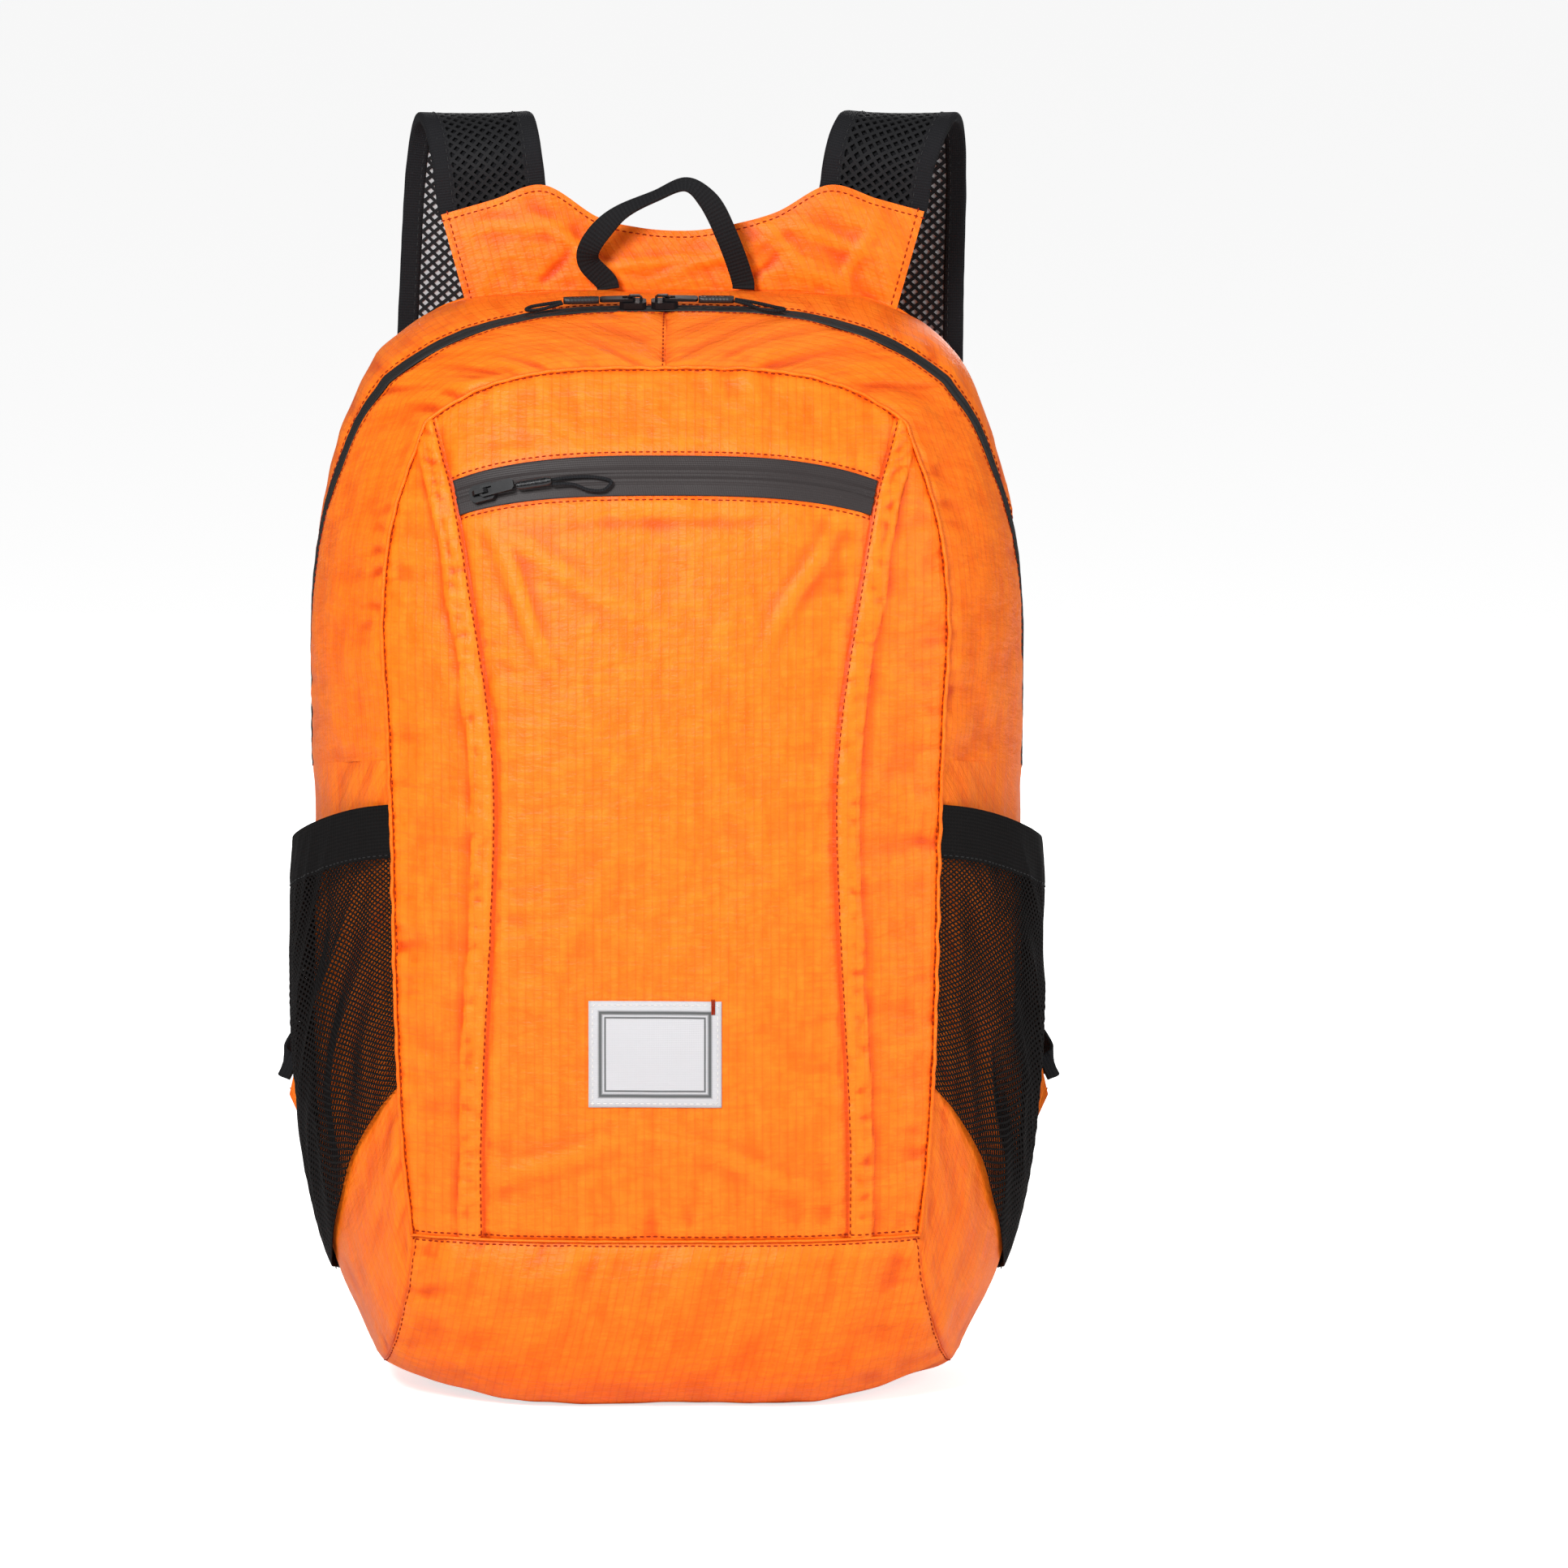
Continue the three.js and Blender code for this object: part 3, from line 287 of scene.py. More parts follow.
def backPanel(across, up):
    across, up = together(across, up)
    corner = size["cornerRun"]
    share, rise = ((across + 1) / 2)[..., None], up[..., None]
    run = mix(1, corner, np.abs(across))
    high = rearSeam(1, run)
    high[..., 0] *= np.sign(across)
    here = mix(rearSeam(-1, corner * up), rearSeam(1, corner * up), share)
    here = here + (basePanel(across, 1) - mix(rearSeam(-1, 0), rearSeam(1, 0), share)) * (1 - rise)
    here = here + (high - mix(rearSeam(-1, corner), rearSeam(1, corner), share)) * rise
    here[..., 1] += size["backBulge"] * (1 - across ** 2) * np.sin(np.pi * up)
    return here


def zipLow(across):
    reach = size["frontHeight"] - size["bottomSeam"]
    return 1 - size["zipDrop"] / reach + 0.006 * (1 - (across / 0.75) ** 2)


def zipHigh(across):
    return zipLow(across) + size["zipHeight"] / (size["frontHeight"] - size["bottomSeam"]) + 0.002


def frontRegion(low, high):
    def surface(u, v):
        column = u * 2 - 1
        guess = np.where(v < 0.5, princess(low(0.75)), princess(high(0.75)))
        up = mix(low(column * guess), high(column * guess), v)
        across = column * princess(up)
        return frontFace(across, mix(low(across), high(across), v))
    return surface


def archPoint(u, acrossOf):
    u = np.asarray(u, float)
    run = mix(size["zipEnd"], 1, np.where(u < 0.5, u * 2, 2 - u * 2))
    here = gusset(1, run, acrossOf(run))
    here[..., 0] *= np.where(u < 0.5, -1, 1)
    return here


# Noise and folds. Lengths of waves and reaches of seams, in millimetres, with their strengths.
dressed = {
    "foldSharp": 2.6, "foldLevel": 0.35, "billow": (62, 85), "crinkle": (15, 22), "calm": 6, "reach": 13,
    "pucker": 1.9, "puckerStart": 1.6, "gather": 48, "seamWidth": 2.2, "seamReach": 3.5, "creaseBend": (1.6, 2.2),
    "allowanceWave": (1.6, 22), "allowanceRough": (1.2, 3.6), "allowanceFray": (0.3, 1.9),
}


def lattice(x, y, seed):
    n = (x.astype(np.int64) * 374761393 + y.astype(np.int64) * 668265263 + seed * 974634777) & 0xFFFFFFFF
    n = ((n ^ (n >> 13)) * 1274126177) & 0xFFFFFFFF
    return ((n ^ (n >> 16)) & 0xFFFF) / 65535 * 2 * np.pi


def ripple(x, y, seed):
    x, y = together(x, y)
    x0, y0 = np.floor(x), np.floor(y)
    fx, fy = x - x0, y - y0
    total = 0
    wx, wy = fx ** 3 * (fx * (fx * 6 - 15) + 10), fy ** 3 * (fy * (fy * 6 - 15) + 10)
    for dx in (0, 1):
        for dy in (0, 1):
            angle = lattice(x0 + dx, y0 + dy, seed)
            dot = np.cos(angle) * (fx - dx) + np.sin(angle) * (fy - dy)
            total = total + dot * (wx if dx else 1 - wx) * (wy if dy else 1 - wy)
    return total


def creased(x, y, seed):
    return 1 - np.minimum(np.abs(ripple(x, y, seed)) * dressed["foldSharp"], 1)


# Meshes from grids.
# ring: the vertices of the panel's rim, whose edges are sharp so that neighbours shade as one cloth.
def makeObject(name, verts, quads, uv, material, replaced=(), tris=None, ring=None, ridgeShade=None):
    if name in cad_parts:
        name += "_cloth"
    mesh = bpy.data.meshes.new(name)
    faces = quads.tolist() + ([] if tris is None else tris.tolist())
    mesh.from_pydata((np.asarray(verts) * mm).tolist(), [], faces)
    corners = np.fromiter((corner for face in faces for corner in face), int)
    mesh.uv_layers.new(name="cloth").data.foreach_set("uv", (uv[corners] * mm).ravel())
    # Optional point attribute that the cloth colour reads for painted shade in valleys and painted highlight on
    # ridges.
    if ridgeShade is not None:
        mesh.attributes.new("ridgeShade", "FLOAT", "POINT").data.foreach_set("value", ridgeShade)
    mesh.polygons.foreach_set("use_smooth", np.ones(len(faces), bool))
    if ring is not None:
        ends = np.zeros(len(mesh.edges) * 2, np.int32)
        mesh.edges.foreach_get("vertices", ends)
        sharp = mesh.attributes.new("sharp_edge", "BOOLEAN", "EDGE")
        sharp.data.foreach_set("value", ring[ends.reshape(-1, 2)].all(1))
    mesh.update()
    mesh.materials.append(material)
    return finishPiece(addObject(name, mesh), replaced)


def finishPiece(piece, replaced=()):
    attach(piece, "root")
    if replaced:
        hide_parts(*replaced)
    return piece


def arcs(grid, axis):
    step = np.linalg.norm(np.diff(grid, axis=axis), axis=-1)
    total = np.cumsum(step, axis=axis)
    zero = np.zeros_like(np.take(total, [0], axis=axis))
    return np.concatenate([zero, total], axis=axis)


def arcUv(grid):
    return np.stack([arcs(grid, 1), arcs(grid, 0)], -1)


def rimOf(shape):
    ring = np.ones(shape[:2], bool)
    ring[1:-1, 1:-1] = False
    return np.concatenate([ring.ravel()] * 2)


def gridNormals(grid, facing):
    across, along = np.gradient(grid, axis=1), np.gradient(grid, axis=0)
    return unit(np.cross(across, along)) * facing


# 1 when the grid's normals point away from a place behind the cloth, which is the bag's middle by default.
bagMiddle = np.array([0, 0, 215])


def facingOf(grid, behind=bagMiddle):
    rows, columns = grid.shape[:2]
    i, j = rows // 2, columns // 2
    normal = np.cross(grid[i, j + 1] - grid[i, j - 1], grid[i + 1, j] - grid[i - 1, j])
    return 1 if normal @ (grid[i, j] - behind) > 0 else -1


def shellMesh(outer, inner, facing, uv):
    rows, columns = outer.shape[:2]
    index = np.arange(rows * columns).reshape(rows, columns)
    half = rows * columns
    a, b, c, d = index[:-1, :-1], index[:-1, 1:], index[1:, 1:], index[1:, :-1]
    front = np.stack([a, b, c, d], -1).reshape(-1, 4)
    back = np.stack([a, d, c, b], -1).reshape(-1, 4) + half

    def rim(line):
        p, q = line[:-1], line[1:]
        return np.stack([q, p, p + half, q + half], -1)

    edges = np.concatenate([rim(index[0]), rim(index[:, -1]), rim(index[-1][::-1]), rim(index[:, 0][::-1])])
    quads = np.concatenate([front, back, edges])
    if facing < 0:
        quads = quads[:, ::-1]
    verts = np.concatenate([outer.reshape(-1, 3), inner.reshape(-1, 3)])
    return verts, quads, np.concatenate([uv.reshape(-1, 2)] * 2)


# Displacement of a sewn panel: puckers that run in from its seams, a valley on each seam, soft billows,
# and the single creases of its own table (x, z, turn, length, width, rise) in the front view.
def dress(grid, facing, look, seed):
    normal = gridNormals(grid, facing)
    run, climb = arcs(grid, 1), arcs(grid, 0)
    edges = {
        "left": (run, climb), "right": (run[:, -1:] - run, climb),
        "low": (climb, run), "high": (climb[-1:] - climb, run),
    }
    calm, inward = np.ones(run.shape), np.ones(run.shape)
    for far, along in edges.values():
        calm = calm * (1 - np.exp(-((far / dressed["calm"]) ** 2)))
    billowWide, billowTall = dressed["billow"]
    rise = look.get("billow", 0.9) * ripple(run / billowWide + seed, climb / billowTall, seed + 5)
    crinkleWide, crinkleTall = dressed["crinkle"]
    rise = rise + look.get("crinkle", 0.3) * ripple(run / crinkleWide, climb / crinkleTall, seed + 9)
    folds = creased(run / 48 + climb / 90, climb / 60 - run / 140, seed + 13) - dressed["foldLevel"]
    rise = (rise + look.get("folds", 0) * folds) * calm
    for n, (name, (far, along)) in enumerate(edges.items()):
        pucker, valley, pitch = look.get(name, (0.35, 0.5, 8))
        reach = look.get("reach", dressed["reach"])
        drawn = np.clip(0.75 + 1.4 * ripple(along / dressed["gather"], 0 * far, seed + 30 + n), 0.2, 1.3)
        wave = ripple(along / (pitch * 1.7), far / 40 + 7 * n, seed + n) * np.exp(-far / (reach * 1.7))
        wave = wave + 0.5 * ripple(along / (pitch * 0.5), far / 12, seed + 20 + n) * np.exp(-far / (reach * 0.6))
        rise = rise + dressed["pucker"] * pucker * drawn * wave * (1 - np.exp(-far / dressed["puckerStart"]))
        rise = rise - valley * np.exp(-((far / dressed["seamWidth"]) ** 2))
        inward = inward * (1 - np.exp(-((far / dressed["seamReach"]) ** 2)))
    sway, turns = dressed["creaseBend"]
    for x, z, turn, length, width, height in look.get("creases", ()):
        turn = math.radians(turn)
        dx, dz = grid[..., 0] - x, grid[..., 2] - z
        along, over = dx * math.cos(turn) + dz * math.sin(turn), -dx * math.sin(turn) + dz * math.cos(turn)
        over = over + sway * np.sin(along / length * turns)
        rise = rise + height * np.exp(-((along / length) ** 2)) * np.exp(-((over / width) ** 2)) * inward
    if "allowance" in look:
        name, wide, high = look["allowance"]
        far, along = edges[name]
        (sway, waveRun), (coarse, coarseRun), (fray, frayRun) = (
            dressed[key] for key in ("allowanceWave", "allowanceRough", "allowanceFray")
        )
        edge = wide + sway * ripple(along / waveRun, 0 * far, seed + 44)
        step = smooth((edge - far) / 1.2) * smooth((far - 1.0) / 1.6)
        rough = coarse * ripple(along / coarseRun, far / 6, seed + 40)
        rough = rough + fray * ripple(far / frayRun, along / 30, seed)
        rise = rise + step * (high + rough)
    return grid + normal * rise[..., None], rise


# How far each point stands above the mean of its neighbours within a few millimetres.
ridgeLook = {"reach": 4.5, "height": 0.45}


def ridges(grid, rise):
    mean = rise
    for axis in (0, 1):
        step = np.linalg.norm(np.diff(grid, axis=axis), axis=-1).mean()
        reach = max(int(round(ridgeLook["reach"] / step)), 1)
        around = np.pad(mean, [(reach, reach) if i == axis else (0, 0) for i in (0, 1)], mode="edge")
        taken = [np.take(around, range(i, i + rise.shape[axis]), axis=axis) for i in range(2 * reach + 1)]
        mean = sum(taken) / len(taken)
    return np.clip((rise - mean) / ridgeLook["height"], -1, 1)


grids = {}


def clothPanel(name, surface, counts, look, seed, material, replaced, uvOf=None):
    grid = surface(*shareGrid(*counts))
    facing = facingOf(grid, look.get("behind", bagMiddle))
    outer, rise = dress(grid, facing, look, seed)
    normal = gridNormals(outer, facing)
    inner = outer - normal * look.get("thick", 0.5)
    uv = (uvOf or arcUv)(grid)
    verts, quads, uv = shellMesh(outer, inner, facing, uv)
    grids[name] = (outer, normal)
    # The relief's valleys get painted shade and its ridges painted highlight in the cloth's colour through this
    # attribute.
    ridgeShade = np.concatenate([ridges(grid, rise).ravel()] * 2)
    makeObject(name, verts, quads, uv, material, replaced, ring=rimOf(grid.shape), ridgeShade=ridgeShade)


# Points at a stated distance in from one edge of a finished panel, just above the cloth.
def edgeLine(name, edge, offset):
    outer, normal = grids[name]
    if edge in ("low", "high"):
        outer, normal = outer.transpose(1, 0, 2), normal.transpose(1, 0, 2)
    if edge in ("right", "high"):
        outer, normal = outer[:, ::-1], normal[:, ::-1]
    run = arcs(outer, 1)
    line = []
    for row, out, far in zip(outer, normal, run):
        j = min(max(int(np.searchsorted(far, offset)), 1), len(far) - 1)
        share = (offset - far[j - 1]) / max(far[j] - far[j - 1], 1e-9)
        line.append(mix(row[j - 1], row[j], share) + mix(out[j - 1], out[j], share) * 0.12)
    return np.array(line)


# Smooth line through points, as many even steps as asked.
def smoothLine(control, count):
    p = np.asarray(control, float)
    p = np.vstack([2 * p[0] - p[1], p, 2 * p[-1] - p[-2]])
    fine = []
    for i in range(1, len(p) - 2):
        knots = [0.0]
        for a, b in zip(p[i - 1:i + 2], p[i:i + 3]):
            knots.append(knots[-1] + max(np.linalg.norm(b - a), 1e-6) ** 0.5)
        t = np.linspace(knots[1], knots[2], 24, endpoint=False)[:, None]
        rows = p[i - 1:i + 3]
        for spans in (((0, 1), (1, 2), (2, 3)), ((0, 2), (1, 3)), ((1, 2),)):
            spans = [(knots[start], knots[end]) for start, end in spans]
            rows = [
                (end - t) / (end - start) * rows[j] + (t - start) / (end - start) * rows[j + 1]
                for j, (start, end) in enumerate(spans)
            ]
        fine.append(rows[0])
    fine = np.vstack(fine + [p[-2][None]])
    return evenLine(fine, count)


def evenLine(line, count):
    far = arcs(line[None], 1)[0]
    at = np.linspace(0, far[-1], count + 1)
    return np.stack([np.interp(at, far, line[:, i]) for i in range(3)], -1)


def frames(line, acrossOf):
    along = unit(np.gradient(line, axis=0))
    across = np.array([acrossOf(i / (len(line) - 1), along[i]) for i in range(len(line))], float)
    across = unit(across - along * (across * along).sum(-1, keepdims=True))
    return across, unit(np.cross(along, across))


def circle(radius, steps):
    turns = np.linspace(0, 2 * math.pi, steps + 1)[:-1]
    return np.stack([np.cos(turns), np.sin(turns)], -1) * radius


def sweepMesh(line, across, up, section, scale=None):
    section = np.asarray(section, float)
    wide = np.ones(len(line)) if scale is None else scale
    ring = (
        line[:, None] + across[:, None] * section[None, :, :1] * wide[:, None, None]
        + up[:, None] * section[None, :, 1:]
    )
    count, n = ring.shape[:2]
    index = np.arange(count * n).reshape(count, n)
    nxt = np.roll(index, -1, axis=1)
    quads = np.stack([index[:-1], nxt[:-1], nxt[1:], index[1:]], -1).reshape(-1, 4)
    first, last = count * n, count * n + 1
    tris = np.concatenate([
        np.stack([np.full(n, first), nxt[0], index[0]], -1),
        np.stack([np.full(n, last), index[-1], nxt[-1]], -1),
    ])
    verts = np.concatenate([ring.reshape(-1, 3), [ring[0].mean(0), ring[-1].mean(0)]])
    far = arcs(line[None], 1)[0]
    lap = arcs(np.concatenate([section, section[:1]])[None], 1)[0][:n]
    uv = np.stack(np.meshgrid(lap, far), -1).reshape(-1, 2)
    uv = np.concatenate([uv, [[0, 0], [0, far[-1]]]])
    return verts, quads, tris, uv


def ribbon(name, line, across, up, section, material, replaced, scale=None):
    verts, quads, tris, uv = sweepMesh(line, across, up, section, scale)
    return makeObject(name, verts, quads, uv, material, replaced, tris)


def roundedSection(halfWidth, halfHeight, corner, steps):
    ring = []
    for cx, cy, start in ((1, 1, 0), (-1, 1, 90), (-1, -1, 180), (1, -1, 270)):
        for i in range(steps + 1):
            turn = math.radians(start + 90 * i / steps)
            ring.append((
                cx * (halfWidth - corner) + corner * math.cos(turn),
                cy * (halfHeight - corner) + corner * math.sin(turn),
            ))
        if cx * cy > 0:
            flip = 1 if cy > 0 else -1
            ring += [(flip * halfWidth * share, flip * halfHeight) for share in (0.55, 0, -0.55)]
    return ring


# Shader and geometry node helpers.
class Nodes:
    def __init__(self, tree):
        self.tree = tree

    def add(self, kind, inputs=None, **settings):
        node = self.tree.nodes.new(kind)
        for name, value in settings.items():
            setattr(node, name, value)
        for key, value in (inputs or {}).items():
            self.put(node.inputs[key], value)
        return node

    def put(self, socket, value):
        if isinstance(value, bpy.types.NodeSocket):
            self.tree.links.new(value, socket)
        else:
            socket.default_value = value

    def calc(self, operation, *values, clamp=False):
        node = self.add("ShaderNodeMath", operation=operation, use_clamp=clamp)
        for socket, value in zip(node.inputs, values):
            self.put(socket, value)
        return node.outputs[0]

    def blend(self, factor, a, b):
        node = self.add("ShaderNodeMix", data_type="RGBA")
        self.put(node.inputs[0], factor)
        self.put(node.inputs[6], a)
        self.put(node.inputs[7], b)
        return node.outputs[2]

    def noise(self, vector, scale, detail=2.0, rough=0.5):
        return self.add(
            "ShaderNodeTexNoise",
            {"Vector": vector, "Scale": scale, "Detail": detail, "Roughness": rough},
        ).outputs["Fac"]


def nodeGroup(name, kind, inputs, outputs):
    tree = bpy.data.node_groups.new(name, kind)
    for label, socketType, value in inputs:
        socket = tree.interface.new_socket(label, in_out="INPUT", socket_type=socketType)
        if value is not None:
            socket.default_value = value
    for label, socketType in outputs:
        tree.interface.new_socket(label, in_out="OUTPUT", socket_type=socketType)
    start, end = tree.nodes.new("NodeGroupInput"), tree.nodes.new("NodeGroupOutput")
    return tree, Nodes(tree), start.outputs, end.inputs


real, vector = "NodeSocketFloat", "NodeSocketVector"


# Ripstop: a fine plain weave with thicker threads in a square grid.
def makeRipstopGroup():
    tree, n, start, end = nodeGroup(
        "ripstopWeave", "ShaderNodeTree",
        [("Vector", vector, None), ("Grid", real, 0.004), ("Weave", real, 0.0007), ("Line", real, 0.16)],
        [("Line Mask", real), ("Height", real), ("Mottle", real)],
    )
    split = n.add("ShaderNodeSeparateXYZ", {"Vector": start["Vector"]}).outputs
    masks, threads = [], []
    for axis in (0, 1):
        cell = n.calc("FRACT", n.calc("DIVIDE", split[axis], start["Grid"]))
        far = n.calc("ABSOLUTE", n.calc("SUBTRACT", cell, 0.5))
        masks.append(n.calc("SUBTRACT", 1.0, n.calc("DIVIDE", far, start["Line"]), clamp=True))
        threads.append(n.calc("SINE", n.calc("MULTIPLY", n.calc("DIVIDE", split[axis], start["Weave"]), 2 * math.pi)))
    worn = n.add("ShaderNodeVectorMath", {0: start["Vector"], 1: (30, 16, 1)}, operation="MULTIPLY").outputs[0]
    fade = n.calc("MULTIPLY", n.calc("SUBTRACT", n.noise(worn, 1.0, 3.0), 0.3), 2.2, clamp=True)
    lines = n.calc("MAXIMUM", masks[0], n.calc("MULTIPLY", n.calc("MULTIPLY", masks[1], 0.7), fade))
    weave = n.calc("MULTIPLY", threads[0], threads[1])
    n.put(end["Line Mask"], lines)
    n.put(end["Height"], n.calc("ADD", lines, n.calc("MULTIPLY", weave, 0.18)))
    stretched = n.add("ShaderNodeVectorMath", {0: start["Vector"], 1: (260, 60, 1)}, operation="MULTIPLY").outputs[0]
    n.put(end["Mottle"], n.noise(stretched, 1.0, 3.0))
    return tree


# Woven band: ribs across the band and threads along it.
def makeBandGroup():
    tree, n, start, end = nodeGroup(
        "wovenBand", "ShaderNodeTree",
        [("Vector", vector, None), ("Rib", real, 0.0011), ("Thread", real, 0.0008)],
        [("Height", real), ("Shade", real)],
    )
    split = n.add("ShaderNodeSeparateXYZ", {"Vector": start["Vector"]}).outputs
    ribs = n.calc("SINE", n.calc("MULTIPLY", n.calc("DIVIDE", split[1], start["Rib"]), 2 * math.pi))
    threads = n.calc("SINE", n.calc("MULTIPLY", n.calc("DIVIDE", split[0], start["Thread"]), 2 * math.pi))
    height = n.calc("ADD", n.calc("MULTIPLY", ribs, 0.6), n.calc("MULTIPLY", threads, 0.3))
    n.put(end["Height"], height)
    # Shade is painted: lighter on the raised ribs and threads, darker in the grooves between them.
    n.put(end["Shade"], n.calc("MULTIPLY_ADD", height, 0.25, 0.5))
    return tree


# Wear: lint and rubbed patches that lighten and roughen.
def makeWearGroup():
    tree, n, start, end = nodeGroup(
        "lintAndWear", "ShaderNodeTree",
        [("Vector", vector, None), ("Patch", real, 22.0), ("Speck", real, 900.0), ("Amount", real, 0.3)],
        [("Wear", real), ("Lint", real)],
    )
    patch = n.noise(start["Vector"], start["Patch"], 4.0, 0.6)
    wear = n.calc("MULTIPLY", n.calc("SUBTRACT", patch, 0.42), 3.0, clamp=True)
    n.put(end["Wear"], n.calc("MULTIPLY", wear, start["Amount"]))
    speck = n.noise(start["Vector"], start["Speck"], 2.0, 0.7)
    lint = n.calc("MULTIPLY", n.calc("SUBTRACT", speck, 0.66), 8.0, clamp=True)
    n.put(end["Lint"], n.calc("MULTIPLY", lint, start["Amount"]))
    return tree


groups = {"ripstop": makeRipstopGroup(), "band": makeBandGroup(), "wear": makeWearGroup()}


def startMaterial(name, settings):
    material = bpy.data.materials.new(name)
    material.use_nodes = True
    n = Nodes(material.node_tree)
    shader = material.node_tree.nodes["Principled BSDF"]
    for key, value in settings.items():
        shader.inputs[key].default_value = value
    place = n.add("ShaderNodeTexCoord")
    return material, n, shader, place


def useGroup(n, key, **inputs):
    node = n.add("ShaderNodeGroup", node_tree=groups[key])
    for name, value in inputs.items():
        n.put(node.inputs[name], value)
    return node.outputs


def bumpInto(n, shader, height, distance):
    bump = n.add("ShaderNodeBump", {"Height": height, "Distance": distance, "Strength": 1.0})
    n.put(shader.inputs["Normal"], bump.outputs[0])


# Cloth in one colour: base, thread lines and pale rubbed parts, with painted shade along the fine crinkles and in the
# valleys of the mesh relief, and painted highlight in the pale colour on its ridges. Wrinkles finer than the mesh are
# bumps.
def ripstopMaterial(name, base, lines, pale, shadeColour, grid=0.0033, rough=0.44):
    material, n, shader, place = startMaterial(name, {"Specular IOR Level": 0.18})
    weave = useGroup(n, "ripstop", Vector=place.outputs["UV"], Grid=grid)
    wear = useGroup(n, "wear", Vector=place.outputs["Object"], Amount=0.35)
    ridgeShade = n.add("ShaderNodeAttribute", attribute_name="ridgeShade").outputs["Fac"]
    flat = n.add("ShaderNodeVectorMath", {0: place.outputs["UV"], 1: (70, 210, 1)}, operation="MULTIPLY").outputs[0]
    short = n.noise(flat, 1.0, 4.0, 0.6)
    off = n.calc("ABSOLUTE", n.calc("SUBTRACT", short, 0.5))
    folds = n.calc("SUBTRACT", 1.0, n.calc("MULTIPLY", off, 9.0), clamp=True)
    tone = n.blend(n.calc("MULTIPLY_ADD", weave["Mottle"], 1.6, -0.35, clamp=True), (*base, 1), (*pale, 1))
    tone = n.blend(n.calc("MULTIPLY", weave["Line Mask"], 0.36), tone, (*lines, 1))
    tone = n.blend(n.calc("MULTIPLY", wear["Wear"], 0.35), tone, (*pale, 1))
    # Painted shade along the lines of the fine crinkles that the wrinkle bump below draws.
    tone = n.blend(n.calc("MULTIPLY", folds, 0.22), tone, (*shadeColour, 1))
    # Painted shade in the valleys of the mesh relief and painted highlight in the pale colour on its ridges, from the
    # baked attribute.
    tone = n.blend(n.calc("MULTIPLY", ridgeShade, -1.0, clamp=True), tone, (*shadeColour, 1))
    tone = n.blend(n.calc("MULTIPLY", ridgeShade, 0.4, clamp=True), tone, (*pale, 1))
    n.put(shader.inputs["Base Color"], tone)
    n.put(shader.inputs["Roughness"], n.calc("MULTIPLY_ADD", weave["Mottle"], 0.2, rough - 0.1))
    small = n.calc("ADD", n.calc("MULTIPLY", n.noise(place.outputs["Object"], 150.0, 4.0, 0.6), 0.6), short)
    wrinkle = n.add("ShaderNodeBump", {"Height": small, "Distance": 0.0016, "Strength": 0.6}).outputs[0]
    fine = n.noise(place.outputs["Object"], 420.0, 3.0)
    height = n.calc("ADD", weave["Height"], n.calc("MULTIPLY", fine, 0.5))
    bump = n.add("ShaderNodeBump", {"Height": height, "Distance": 0.00008, "Strength": 0.8, "Normal": wrinkle})
    n.put(shader.inputs["Normal"], bump.outputs[0])
    return material


def bandMaterial(name, base, pale, rib=0.0011, thread=0.0008, rough=0.8, depth=0.00012, gloss=0.16):
    material, n, shader, place = startMaterial(name, {"Specular IOR Level": gloss, "Sheen Weight": 0.0})
    weave = useGroup(n, "band", Vector=place.outputs["UV"], Rib=rib, Thread=thread)
    wear = useGroup(n, "wear", Vector=place.outputs["Object"], Amount=0.5)
    # Painted highlight on the raised threads and painted shade in the grooves, from the weave's relief.
    tone = n.blend(weave["Shade"], (*base, 1), (*pale, 1))
    tone = n.blend(n.calc("MULTIPLY", wear["Lint"], 0.4), tone, (*[min(1, c * 4 + 0.02) for c in pale], 1))
    n.put(shader.inputs["Base Color"], tone)
    n.put(shader.inputs["Roughness"], n.calc("MULTIPLY_ADD", wear["Wear"], 0.2, rough))
    bumpInto(n, shader, weave["Height"], depth)
    return material


def plainMaterial(name, base, pale, rough, grain, depth, **settings):
    material, n, shader, place = startMaterial(name, settings)
    wear = useGroup(n, "wear", Vector=place.outputs["Object"], Patch=60.0, Amount=0.6)
    fine = n.noise(place.outputs["Object"], grain, 3.0, 0.6)
    n.put(shader.inputs["Base Color"], n.blend(n.calc("MULTIPLY", fine, 0.8), (*base, 1), (*pale, 1)))
    n.put(shader.inputs["Roughness"], n.calc("MULTIPLY_ADD", wear["Wear"], 0.25, rough))
    bumpInto(n, shader, fine, depth)
    return material


print("materials")
# The fourth colour of each ripstop is its painted shade for crinkles and relief valleys.
orange = ripstopMaterial(
    "orangeRipstop", (0.93, 0.142, 0.003), (0.74, 0.08, 0.002), (0.97, 0.225, 0.011), (0.66, 0.066, 0.002),
)
orangeBack = ripstopMaterial(
    "orangeBack", (0.91, 0.145, 0.003), (0.72, 0.08, 0.002), (0.95, 0.215, 0.01), (0.68, 0.075, 0.002), grid=0.005,
)
blackBinding = bandMaterial("blackBinding", (0.005, 0.005, 0.006), (0.013, 0.013, 0.015))
blackWebbing = bandMaterial("blackWebbing", (0.004, 0.004, 0.005), (0.013, 0.013, 0.014), rib=0.0016, thread=0.0011)
blackElastic = bandMaterial(
    "blackElastic", (0.002, 0.0018, 0.0018), (0.009, 0.008, 0.008), rib=0.0014, thread=0.0014, gloss=0.1,
)
zipTape = bandMaterial(
    "coatedTape", (0.02, 0.0155, 0.0155), (0.034, 0.027, 0.027), rib=0.0009, thread=0.0009, rough=0.5, depth=0.00004,
    gloss=0.26,
)
